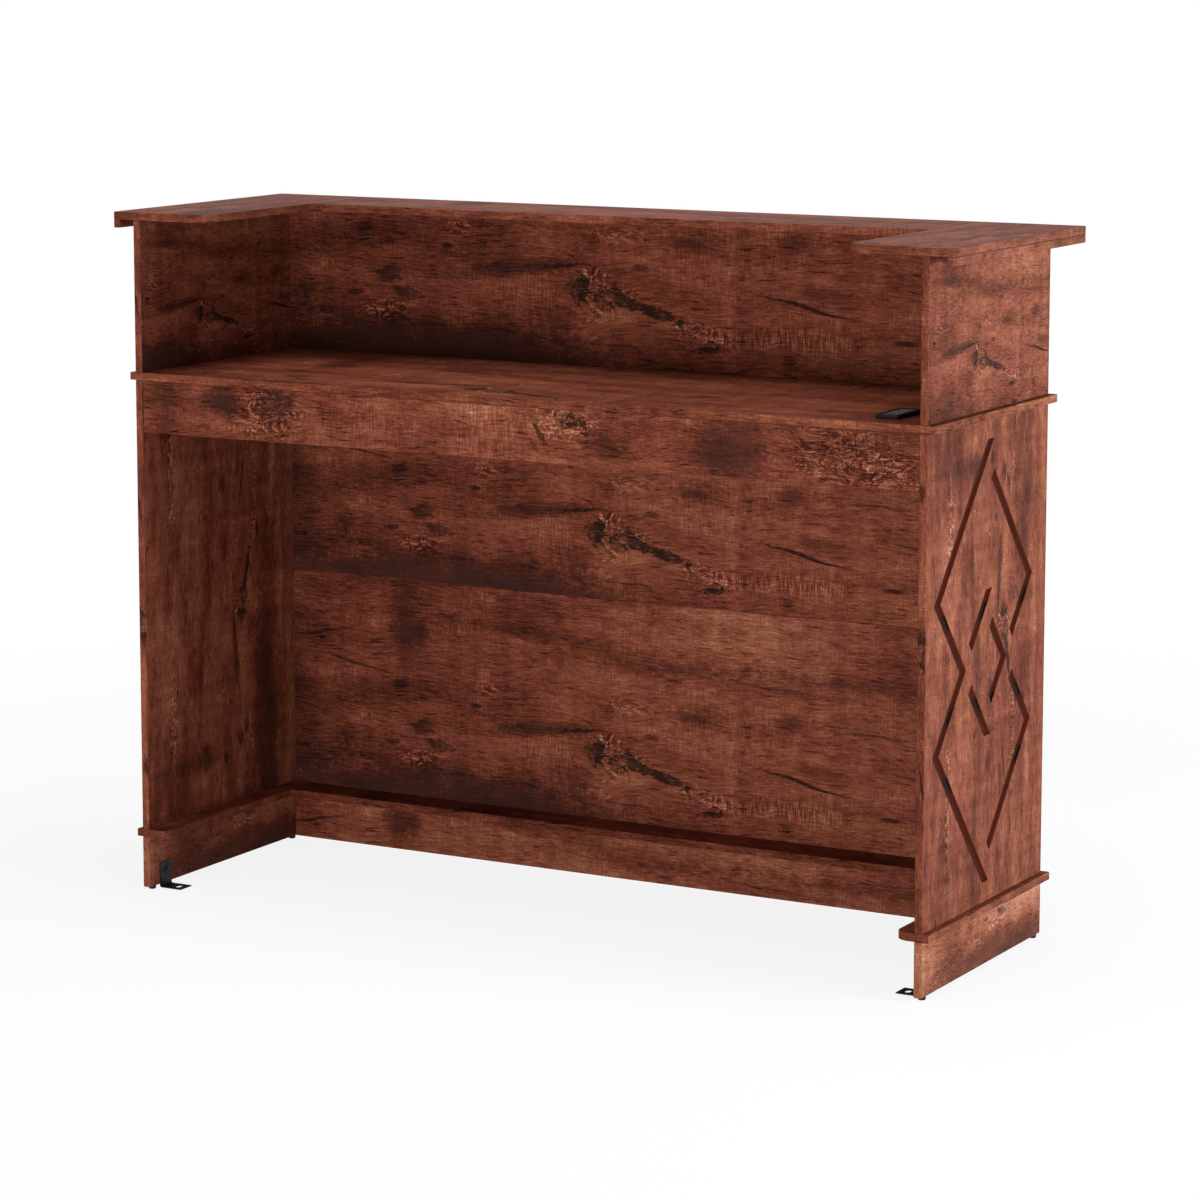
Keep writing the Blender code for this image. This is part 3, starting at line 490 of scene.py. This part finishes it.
def laminate(name, turn, shift, scale=1.0, lift=0.0, grooved=False, gloss=BOARD_GLOSS, zones=0.0, band=1.0):
    """Laminate for a board that lies on the sheet with this turn in degrees and shift in millimetres.

    Zones and band say how strong the broad zones and the dark band are on the board.
    The zones are painted shade and light, the band is print with painted shade in the front boards' left
    corner, and the lift is painted light and shade for the whole board.
    """
    material, recipe = start_material(name)
    coordinates = recipe.step("ShaderNodeTexCoord").outputs
    angles = [math.radians(angle) for angle in turn]
    lay = {"Location": [s / 1000 for s in shift] + [0], "Rotation": angles, "Scale": [scale] * 3}
    board = recipe.step("ShaderNodeMapping", {"Vector": coordinates["Object"], **lay}).outputs[0]
    facing = recipe.step("ShaderNodeMapping", {"Vector": coordinates["Normal"], "Rotation": angles},
                         vector_type="VECTOR").outputs[0]
    place = recipe.step("ShaderNodeGroup", {"Board": board, "Facing": facing}, node_tree=LAY).outputs[0]
    given = {"Place": place, "Lift": lift, "Zones": zones, "Band": band}
    printed = recipe.step("ShaderNodeGroup", given, node_tree=PRINT).outputs
    colour = printed["Colour"]
    if grooved:
        colour = groove_colour(recipe, coordinates["Object"], coordinates["Normal"], colour)
    relief = recipe.step("ShaderNodeBump", {"Height": printed["Relief"], "Distance": RELIEF_DEPTH,
                                            "Strength": RELIEF_STRENGTH}).outputs[0]
    skin = recipe.step("ShaderNodeBsdfPrincipled", {
        "Base Color": colour, "Roughness": printed["Roughness"], "Specular IOR Level": gloss,
        "Normal": relief})
    recipe.step("ShaderNodeOutputMaterial", {"Surface": skin.outputs[0]})
    return material


def groove_colour(recipe, spot, facing, colour):
    """Dark stain in the routed grooves, between the two faces of the board, with painted light on the groove
    walls.
    """
    x, y, z = recipe.step("ShaderNodeSeparateXYZ", {0: spot}).outputs
    inside = 1.0
    for value, middle, reach in zip((recipe.sum("ABSOLUTE", x), y, z), GROOVE_MIDDLE, GROOVE_REACH):
        inside = recipe.sum("MULTIPLY", inside, recipe.sum("COMPARE", value, middle, reach))
    cloud = recipe.noise(spot, (9, 9, 45), 3.0, 0.6)
    stain = recipe.ramp(cloud, ((0.30, (0.024, 0.0036, 0.0015)), (0.42, (0.041, 0.0053, 0.0020)),
                                (0.72, (0.053, 0.0078, 0.0030))))
    # Painted light on the groove walls: faces that look across the board get the paler colour.
    across, _, _ = recipe.step("ShaderNodeSeparateXYZ", {0: facing}).outputs
    painted_lit_wall = recipe.sum("LESS_THAN", recipe.sum("ABSOLUTE", across), GROOVE_WALL_FACING)
    stain = recipe.tint(painted_lit_wall, stain, GROOVE_WALL_LIGHT_COLOUR)
    band = 0.0
    for level in GROOVE_DARK_LEVELS:
        away = recipe.sum("ABSOLUTE", recipe.sum("SUBTRACT", z, level))
        dark = recipe.limits(away, GROOVE_DARK_REACH, GROOVE_DARK_CORE, 0.0, GROOVE_DARK_SHARE)
        band = recipe.sum("ADD", band, dark)
    stain = recipe.tint(band, stain, GROOVE_DARK_COLOUR)
    return recipe.tint(inside, colour, stain)


print("laminate ready")

# %% [markdown]
# Each row gives a board's turn, its shift on the sheet, its scale and lift, and whether it is grooved. The
# broad zones show only on the boards that are named for them, and the dark band is fainter on the upper
# and lower right sides. The lifts and these strengths were chosen for the photograph's view.

# %% Every board laid on the sheet
# The lifts are painted light and shade: the base boards are painted lighter, and the front ledge under the
# worktop darker.
LAYS = {
    "lower_front_panel_bottom": (GRAIN_ALONG_X_UPRIGHT, (0, -5), 1.0, 0.03),
    "lower_front_panel_top": (GRAIN_ALONG_X_UPRIGHT, (0, -355), 1.0, 0.03),
    "upper_front_panel": (GRAIN_ALONG_X_UPRIGHT, (20, -655), UPPER_FRONT_SCALE, -0.015),
    "apron": (GRAIN_ALONG_X_UPRIGHT, (0, 49)),
    "base_front": (GRAIN_ALONG_X_UPRIGHT, (15, 308), 1.0, 0.12),
    "worktop": (GRAIN_ALONG_X_LEVEL, (13, 360), 1.0, 0.03),
    "base_ledge_front": (GRAIN_ALONG_X_LEVEL, (40, 250), 1.0, -0.10),
    "counter_front_board": (GRAIN_ALONG_X_LEVEL, (-120, 180)),
    "counter_lip_front": (GRAIN_ALONG_X_LEVEL, (300, 700)),
    "upper_left_side": (GRAIN_ALONG_Y_UPRIGHT, (34, -1212), END_SCALE),
    "upper_right_side": (GRAIN_ALONG_Y_UPRIGHT, (34, -1212), END_SCALE),
    "base_left": (GRAIN_ALONG_Y_UPRIGHT, (-446, 66), END_SCALE, 0.21),
    "base_right": (GRAIN_ALONG_Y_UPRIGHT, (-446, 66), END_SCALE, 0.21),
    "counter_left_cap": (GRAIN_ALONG_Y_LEVEL, (60, -800), END_SCALE),
    "counter_right_cap": (GRAIN_ALONG_Y_LEVEL, (-90, 1250), END_SCALE),
    "counter_lip_left": (GRAIN_ALONG_Y_LEVEL, (500, 300), END_SCALE),
    "counter_lip_right": (GRAIN_ALONG_Y_LEVEL, (200, 900), END_SCALE),
    "base_ledge_left": (GRAIN_ALONG_Y_LEVEL, (-300, -750), END_SCALE),
    "base_ledge_right": (GRAIN_ALONG_Y_LEVEL, (150, 1300), END_SCALE),
    "lower_left_side": (GRAIN_UP, (-717, 243), END_SCALE, 0.05, True),
    "lower_right_side": (GRAIN_DOWN, (731, 258), END_SCALE, -0.005, True),
}
# How strongly each board takes the broad zones of painted shade and light.
SHADE_AND_LIGHT_STRENGTHS = {
    "upper_front_panel": 1.0, "lower_front_panel_top": 1.0, "lower_front_panel_bottom": 1.0,
    "base_front": 0.4, "upper_left_side": 0.8, "upper_right_side": 0.8,
}
# The dark band, print with painted corner shade, is fainter on the right sides.
FAINT_BAND = {"upper_right_side": 0.3, "lower_right_side": 0.4}
for name, lay in LAYS.items():
    gloss = COUNTER_GLOSS if name.startswith("counter") else BOARD_GLOSS
    zones = SHADE_AND_LIGHT_STRENGTHS.get(name, 0.0)
    band = FAINT_BAND.get(name, 1.0)
    finish = laminate(f"laminate_{name}", *lay, gloss=gloss, zones=zones, band=band)
    nodes[name].material_slots[0].material = finish
print(len(LAYS), "boards laid on the sheet")

# %% [markdown]
# ## Hidden wood and small metal
# Beech dowels tie the boards together, and zinc-plated inserts take the feet. Both stay as the CAD model has
# them and need only their finish: fine pores along the dowel, and a dull crystalline bloom on the zinc. One
# function serves every such finish, because they differ only in a few numbers.


# %% Finishes for the small parts
def fine_finish(name, dark, light, rough, grain, bump, metal=0.0, stretch=(1, 1, 1), gloss=0.5):
    """Two tones mixed by a fine noise, which also sets roughness between two values and the relief."""
    material, recipe = start_material(name)
    spot = recipe.step("ShaderNodeTexCoord").outputs["Object"]
    cloud = recipe.noise(spot, [grain * 0.12 * s for s in stretch], 3.0, 0.6)
    fine = recipe.noise(spot, [grain * s for s in stretch], 2.0, 0.55)
    mixed = recipe.sum("MULTIPLY_ADD", recipe.sum("SUBTRACT", fine, 0.5), 0.5, cloud)
    colour = recipe.ramp(mixed, ((0.30, dark), (0.70, light)))
    roughness = recipe.limits(mixed, 0.32, 0.68, *rough)
    relief = recipe.step("ShaderNodeBump", {"Height": fine, "Distance": bump, "Strength": 0.6}).outputs[0]
    skin = recipe.step("ShaderNodeBsdfPrincipled", {"Base Color": colour, "Roughness": roughness,
                                                    "Metallic": metal, "Specular IOR Level": gloss,
                                                    "Normal": relief})
    recipe.step("ShaderNodeOutputMaterial", {"Surface": skin.outputs[0]})
    return material


BEECH = fine_finish("beech_dowel", (0.40, 0.24, 0.12), (0.62, 0.42, 0.24), (0.55, 0.75), 2600, 0.0001,
                    stretch=(1, 1, 0.12))
ZINC = fine_finish("zinc_plating", (0.42, 0.43, 0.44), (0.66, 0.67, 0.68), (0.26, 0.44), 1800, 0.00003, 1.0)
POWDER = fine_finish("black_powder_coat", (0.009, 0.009, 0.009), (0.022, 0.021, 0.020), (0.36, 0.52), 2200,
                     0.00008, gloss=0.14)
MOULDED = fine_finish("moulded_black_plastic", (0.009, 0.009, 0.010), (0.017, 0.017, 0.018), (0.42, 0.58),
                      3000, 0.00006, gloss=0.10)
INSERT = fine_finish("grey_insert_plastic", (0.16, 0.155, 0.155), (0.27, 0.262, 0.262), (0.14, 0.26), 500,
                     0.00001)
BRASS = fine_finish("brass_contact", (0.56, 0.38, 0.14), (0.78, 0.58, 0.26), (0.18, 0.32), 1500, 0.00002, 1.0)
TIN = fine_finish("tinned_shell", (0.50, 0.50, 0.51), (0.72, 0.72, 0.73), (0.16, 0.30), 1500, 0.00002, 1.0)

KEPT = {
    "dowel_": BEECH, "foot_insert_": ZINC, "floor_bracket_": POWDER, "outlet_bezel": MOULDED,
    "outlet_body": MOULDED, "outlet_cord_gland": MOULDED, "outlet_socket": INSERT,
    "outlet_usb_insert": INSERT,
}
dressed = 0
for name, node in nodes.items():
    for start, finish in KEPT.items():
        if name.startswith(start):
            node.material_slots[0].material = finish
            dressed += 1
print(dressed, "small CAD parts dressed")

# %% [markdown]
# ## Threads from a rule
# A thread follows a helix, so Geometry Nodes draw it: a spiral curve carries a three-sided ridge round a
# plain core. The feet and the bracket screws share the tree and differ only in its inputs. The result is
# turned into a plain mesh at once, because the exported model can't carry a modifier.


# %% A threaded rod as a Geometry Nodes tree
TURN_STEPS = 20
RIDGE_SIDES = 3
CORE_SIDES = 24


def make_thread_tree():
    tree = bpy.data.node_groups.new("threaded_rod", "GeometryNodeTree")
    for name, kind in (("Core", "Float"), ("Ridge", "Float"), ("Pitch", "Float"), ("Length", "Float"),
                       ("Finish", "Material")):
        tree.interface.new_socket(name, in_out="INPUT", socket_type=f"NodeSocket{kind}")
    tree.interface.new_socket("Geometry", in_out="OUTPUT", socket_type="NodeSocketGeometry")
    recipe = Recipe(tree)
    given = recipe.step("NodeGroupInput").outputs
    turns = recipe.sum("DIVIDE", given["Length"], given["Pitch"])
    helix = recipe.step("GeometryNodeCurveSpiral", {
        "Resolution": TURN_STEPS, "Rotations": turns, "Start Radius": given["Core"],
        "End Radius": given["Core"], "Height": given["Length"]}).outputs[0]
    ring = {"Resolution": RIDGE_SIDES, "Radius": given["Ridge"]}
    ridge = recipe.step("GeometryNodeCurvePrimitiveCircle", ring)
    swept = recipe.step("GeometryNodeCurveToMesh", {"Curve": helix, "Profile Curve": ridge.outputs[0],
                                                    "Fill Caps": True}).outputs[0]
    core = recipe.step("GeometryNodeMeshCylinder", {"Vertices": CORE_SIDES, "Radius": given["Core"],
                                                    "Depth": given["Length"]}).outputs[0]
    half = recipe.sum("MULTIPLY", given["Length"], 0.5)
    lift = recipe.step("ShaderNodeCombineXYZ", {2: half}).outputs[0]
    core = recipe.step("GeometryNodeTransform", {"Geometry": core, "Translation": lift}).outputs[0]
    joined = recipe.step("GeometryNodeJoinGeometry")
    for part in (core, swept):
        tree.links.new(part, joined.inputs[0])
    plain = recipe.step("GeometryNodeRealizeInstances", {0: joined.outputs[0]}).outputs[0]
    finished = recipe.step("GeometryNodeSetMaterial", {"Geometry": plain, "Material": given["Finish"]})
    recipe.step("NodeGroupOutput", {"Geometry": finished.outputs[0]})
    return tree


def grown_mesh(name, tree, sizes):
    """Runs a Geometry Nodes tree with the named sizes and returns its result as a plain mesh."""
    seed = bpy.data.objects.new(f"{name}_seed", bpy.data.meshes.new(f"{name}_seed"))
    bpy.context.scene.collection.objects.link(seed)
    growth = seed.modifiers.new(name, "NODES")
    growth.node_group = tree
    for item in tree.interface.items_tree:
        if item.in_out == "INPUT" and item.name in sizes:
            growth[item.identifier] = sizes[item.name]
    ready = seed.evaluated_get(bpy.context.evaluated_depsgraph_get())
    mesh = bpy.data.meshes.new_from_object(ready)
    mesh.name = name
    seed.modifiers.clear()
    bpy.data.objects.remove(seed)
    return mesh


def show(name, mesh, body, slot, *replaced):
    """Puts a finished mesh in the scene as a piece on a body."""
    piece = bpy.data.objects.new(name, mesh)
    bpy.context.scene.collection.objects.link(piece)
    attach(piece, body)
    if replaced:
        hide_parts(*replaced)


THREAD = make_thread_tree()
print("thread tree with", len(THREAD.nodes), "steps")

# %% [markdown]
# ## Levelling feet
# Each foot is a small nylon pad with finger flutes round its rim, moulded onto a steel stem that screws up
# into the insert. The pad is a lathe shape whose radius dips at every flute. The stem comes from the thread
# tree, with room left to turn in the insert's bore.


# %% Four feet on threaded stems
MM = 0.001
PAD = [(0, 0.35, 0), (2.2, 0.35, 0), (2.6, 0, 0), (4.7, 0, 0), (5.2, 0.45, 0.4), (5.9, 2.1, 1), (6.0, 2.5, 1),
       (6.0, 4.0, 1), (5.6, 4.6, 0.5), (3.2, 4.7, 0), (0, 4.7, 0)]
PAD_SIDES = 96
FLUTES = 12
FLUTE_DIP = 0.55 * MM
SHARP_EDGE = math.radians(38)
STEM_RISE = 4.6 * MM
STEM = {"Core": 2.05 * MM, "Ridge": 0.45 * MM, "Pitch": 0.8 * MM, "Finish": ZINC}


def lathe(profile, sides, finish, flutes=0, dip=0.0):
    """A solid spun about Z from (radius, height, fluted share) points in mm, from the bottom to the top."""
    shape = bmesh.new()
    rings = []
    for radius_mm, height_mm, share in profile:
        radius = radius_mm * MM
        height = height_mm * MM
        if radius == 0:
            rings.append([shape.verts.new((0, 0, height))])
            continue
        ring = []
        for side in range(sides):
            turn = 2 * math.pi * side / sides
            wave = max(0.0, math.cos(flutes * turn)) ** 2 if flutes else 0.0
            reach = radius - dip * share * wave
            ring.append(shape.verts.new((reach * math.cos(turn), reach * math.sin(turn), height)))
        rings.append(ring)
    for low, high in zip(rings, rings[1:]):
        for side in range(sides):
            after = (side + 1) % sides
            corners = [low[side % len(low)], low[after % len(low)]]
            corners += [high[after % len(high)], high[side % len(high)]]
            shape.faces.new(list(dict.fromkeys(corners)))
    bmesh.ops.recalc_face_normals(shape, faces=shape.faces)
    mesh = bpy.data.meshes.new("lathe")
    shape.to_mesh(mesh)
    shape.free()
    mesh.shade_smooth()
    mesh.set_sharp_from_angle(angle=SHARP_EDGE)
    mesh.materials.append(finish)
    return mesh


for end in ("front", "back"):
    for side in ("left", "right"):
        name = f"{end}_{side}"
        low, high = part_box(f"foot_{name}")
        middle = (low + high) / 2
        pad = lathe(PAD, PAD_SIDES, MOULDED, FLUTES, FLUTE_DIP)
        pad.transform(Matrix.Translation((middle.x, middle.y, low.z)))
        show(f"foot_pad_{name}", pad, f"levelling_foot_{name}", "black_plastic", f"foot_{name}")
        length = high.z - low.z - STEM_RISE
        stem = grown_mesh(f"foot_stem_{name}", THREAD, {**STEM, "Length": length})
        stem.transform(Matrix.Translation((middle.x, middle.y, low.z + STEM_RISE)))
        show(f"foot_stem_{name}", stem, f"levelling_foot_{name}", "zinc")
print("feet", [round(c / MM, 2) for c in high - low], "mm")

# %% [markdown]
# ## Bracket screws
# A black pan-head screw clamps each floor bracket to the base board. Its head has a cross recess, cut with a
# Boolean by two crossed wedges, and its shank bites into the board. The washer face under the head is what
# lets the slotted bracket slide when the screw is slackened.


# %% Two pan-head screws
HEAD = [(0, 0, 0), (4.5, 0, 0), (4.5, 0.55, 0), (4.3, 1.0, 0), (3.7, 1.55, 0), (2.9, 1.9, 0), (2.0, 2.1, 0),
        (0, 2.2, 0)]
HEAD_RISE = 2.2 * MM
HEAD_SIDES = 48
RECESS_ARM = 2.5 * MM
RECESS_WIDTH = 0.55 * MM
RECESS_DEPTH = 1.5 * MM
RECESS_LEVEL = 2.0 * MM
TIP_ARM_SHARE = 0.35
TIP_WIDTH_SHARE = 0.8
CUTTER_TOP = 0.6 * MM
SHANK = {"Core": 1.45 * MM, "Ridge": 0.5 * MM, "Pitch": 1.1 * MM, "Finish": POWDER}


def cross_cutter(arm, width, depth):
    """Two crossed wedges, point down, for the recess in a screw head."""
    quarters = ((1, 1), (-1, 1), (-1, -1), (1, -1))
    top = [(arm * x, width * y, CUTTER_TOP) for x, y in quarters]
    foot = [(arm * x * TIP_ARM_SHARE, width * y * TIP_WIDTH_SHARE, -depth) for x, y in quarters]
    shape = bmesh.new()
    for turn in (0, 90):
        about = Matrix.Rotation(math.radians(turn), 3, "Z")
        verts = [shape.verts.new(about @ Vector(corner)) for corner in top + foot]
        shape.faces.new(verts[:4])
        shape.faces.new(verts[:3:-1])
        for side in range(4):
            after = (side + 1) % 4
            shape.faces.new((verts[side], verts[side + 4], verts[after + 4], verts[after]))
    bmesh.ops.recalc_face_normals(shape, faces=shape.faces)
    mesh = bpy.data.meshes.new("cross")
    shape.to_mesh(mesh)
    shape.free()
    return mesh


def cut_mesh(mesh, cutter):
    """The mesh with the cutter taken out of it, as a plain mesh."""
    blank = bpy.data.objects.new("blank", mesh)
    tool = bpy.data.objects.new("tool", cutter)
    for item in (blank, tool):
        bpy.context.scene.collection.objects.link(item)
    taking = blank.modifiers.new("recess", "BOOLEAN")
    taking.operation = "DIFFERENCE"
    taking.use_self = True
    taking.object = tool
    result = bpy.data.meshes.new_from_object(blank.evaluated_get(bpy.context.evaluated_depsgraph_get()))
    blank.modifiers.clear()
    for item in (blank, tool):
        bpy.data.objects.remove(item)
    return result


for side, inward in (("left", 1), ("right", -1)):
    low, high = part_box(f"bracket_screw_{side}")
    seat_x = (high.x if inward > 0 else low.x) - inward * HEAD_RISE
    place = Matrix.Translation((seat_x, (low.y + high.y) / 2, (low.z + high.z) / 2))
    place = place @ Matrix.Rotation(math.radians(90) * inward, 4, "Y")
    head = lathe(HEAD, HEAD_SIDES, POWDER)
    recess = cross_cutter(RECESS_ARM, RECESS_WIDTH, RECESS_DEPTH)
    recess.transform(Matrix.Translation((0, 0, RECESS_LEVEL)))
    head = cut_mesh(head, recess)
    head.transform(place)
    show(f"screw_head_{side}", head, "desk", "black_steel", f"bracket_screw_{side}")
    length = high.x - low.x - HEAD_RISE
    shank = grown_mesh(f"screw_shank_{side}", THREAD, {**SHANK, "Length": length})
    shank.transform(place @ Matrix.Translation((0, 0, -length)))
    show(f"screw_shank_{side}", shank, "desk", "black_steel")
print("screws", [round(c / MM, 2) for c in high - low], "mm")

# %% [markdown]
# ## Inside the power outlet
# The two charging ports would be empty holes without their insides. Each has a folded tin shell and a black
# tongue with a row of gilt contacts, and a brass sleeve lines each mains slot a little way down. The
# contacts repeat along a line, so Geometry Nodes set them out; the rest are short extrusions.


# %% Port shells, tongues, contacts and mains sleeves
PORT_OFFSETS = (-6.5 * MM, 6.5 * MM)
SHELL_OUTER = (6.2 * MM, 2.5 * MM)
SHELL_INNER = (5.95 * MM, 2.25 * MM)
SHELL_TOP = -0.4 * MM
PORT_FLOOR = -11.6 * MM
TONGUE = (5.4 * MM, 0.9 * MM)
TONGUE_TOP = -2.2 * MM
TONGUE_SHIFT = 0.9 * MM
CONTACT_ROW = {"Count": 4, "Pitch": 2.3 * MM, "Size": (1.0 * MM, 6.5 * MM, 0.12 * MM), "Finish": BRASS}
CONTACT_START = (-3.45 * MM, 0.0, -6.2 * MM)
SLEEVE_OFFSETS = (-6.35 * MM, 6.35 * MM)
SLEEVE_OUTER = (3.75 * MM, 0.85 * MM)
SLEEVE_INNER = (3.55 * MM, 0.65 * MM)
SLEEVE_FLOOR = -12.6 * MM
SLEEVE_TOP = -3.5 * MM
SLEEVE_SHIFT = 3.8 * MM
CORNER_SHARE = 0.25
NOSE_SHARE = 0.3
NOSE_STEPS = 4


def extrusion(outer, inner, low, high, finish):
    """A tube between two levels, from (half width, half length) pairs; with no inner pair, a bar."""
    shape = bmesh.new()
    rings = []
    levels = [(outer, low), (outer, high)]
    if inner:
        levels += [(inner, high), (inner, low)]
    for (half_u, half_v), level in levels:
        corner = min(half_u, half_v) * CORNER_SHARE
        spots = []
        for sx, sy in ((1, 1), (-1, 1), (-1, -1), (1, -1)):
            pair = [(half_u - corner, half_v), (half_u, half_v - corner)]
            pair = pair if sx * sy < 0 else pair[::-1]
            spots += [(sx * x, sy * y) for x, y in pair]
        rings.append([shape.verts.new((x, y, level)) for x, y in spots])
    count = len(rings[0])
    if inner:
        rings.append(rings[0])
    else:
        shape.faces.new(rings[0])
        shape.faces.new(rings[1])
    for ring, following in zip(rings, rings[1:]):
        for side in range(count):
            after = (side + 1) % count
            shape.faces.new((ring[side], ring[after], following[after], following[side]))
    bmesh.ops.recalc_face_normals(shape, faces=shape.faces)
    mesh = bpy.data.meshes.new("extrusion")
    shape.to_mesh(mesh)
    shape.free()
    mesh.materials.append(finish)
    return mesh


def make_contact_tree():
    """A row of flat, round-nosed contacts along X, standing on Z."""
    tree = bpy.data.node_groups.new("contact_row", "GeometryNodeTree")
    for name, kind in (("Count", "Int"), ("Pitch", "Float"), ("Size", "Vector"), ("Finish", "Material")):
        tree.interface.new_socket(name, in_out="INPUT", socket_type=f"NodeSocket{kind}")
    tree.interface.new_socket("Geometry", in_out="OUTPUT", socket_type="NodeSocketGeometry")
    recipe = Recipe(tree)
    given = recipe.step("NodeGroupInput").outputs
    step = recipe.step("ShaderNodeCombineXYZ", {0: given["Pitch"]}).outputs[0]
    row = recipe.step("GeometryNodeMeshLine", {"Count": given["Count"], "Offset": step}).outputs[0]
    outline = recipe.step("GeometryNodeCurvePrimitiveQuadrilateral", {"Width": 1.0, "Height": 1.0}).outputs[0]
    rounding = {"Curve": outline, "Count": NOSE_STEPS, "Radius": NOSE_SHARE, "Limit Radius": True}
    nose = recipe.step("GeometryNodeFilletCurve", rounding, mode="POLY").outputs[0]
    filled = recipe.step("GeometryNodeFillCurve", {"Curve": nose}).outputs[0]
    raised = recipe.step("GeometryNodeExtrudeMesh", {"Mesh": filled, "Offset Scale": 1.0}).outputs[0]
    shaped = recipe.step("GeometryNodeTransform", {"Geometry": raised, "Scale": given["Size"]}).outputs[0]
    placed = recipe.step("GeometryNodeInstanceOnPoints", {"Points": row, "Instance": shaped}).outputs[0]
    plain = recipe.step("GeometryNodeRealizeInstances", {0: placed}).outputs[0]
    finished = recipe.step("GeometryNodeSetMaterial", {"Geometry": plain, "Material": given["Finish"]})
    recipe.step("NodeGroupOutput", {"Geometry": finished.outputs[0]})
    return tree


CONTACTS = make_contact_tree()
low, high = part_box("outlet_usb_insert")
usb_middle = (low + high) / 2
for number, offset in enumerate(PORT_OFFSETS, 1):
    port = Vector((usb_middle.x, usb_middle.y + offset, high.z))
    shell = extrusion(SHELL_OUTER, SHELL_INNER, PORT_FLOOR, SHELL_TOP, TIN)
    shell.transform(Matrix.Translation(port))
    show(f"port_shell_{number}", shell, "desk", "zinc")
    tongue = extrusion(TONGUE, None, PORT_FLOOR, TONGUE_TOP, MOULDED)
    tongue.transform(Matrix.Translation(port + Vector((0, TONGUE_SHIFT, 0))))
    show(f"port_tongue_{number}", tongue, "desk", "black_plastic")
    gilt = grown_mesh(f"port_contacts_{number}", CONTACTS, CONTACT_ROW)
    gilt.transform(Matrix.Rotation(math.radians(90), 4, "X"))
    gilt.transform(Matrix.Translation(port + Vector(CONTACT_START)))
    show(f"port_contacts_{number}", gilt, "desk", "zinc")

low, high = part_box("outlet_socket")
socket_middle = (low + high) / 2
for number, offset in enumerate(SLEEVE_OFFSETS, 1):
    sleeve = extrusion(SLEEVE_OUTER, SLEEVE_INNER, SLEEVE_FLOOR, SLEEVE_TOP, BRASS)
    sleeve.transform(Matrix.Translation((socket_middle.x + SLEEVE_SHIFT, socket_middle.y + offset, high.z)))
    show(f"mains_sleeve_{number}", sleeve, "desk", "zinc")
print("two charging ports and two mains slots filled")
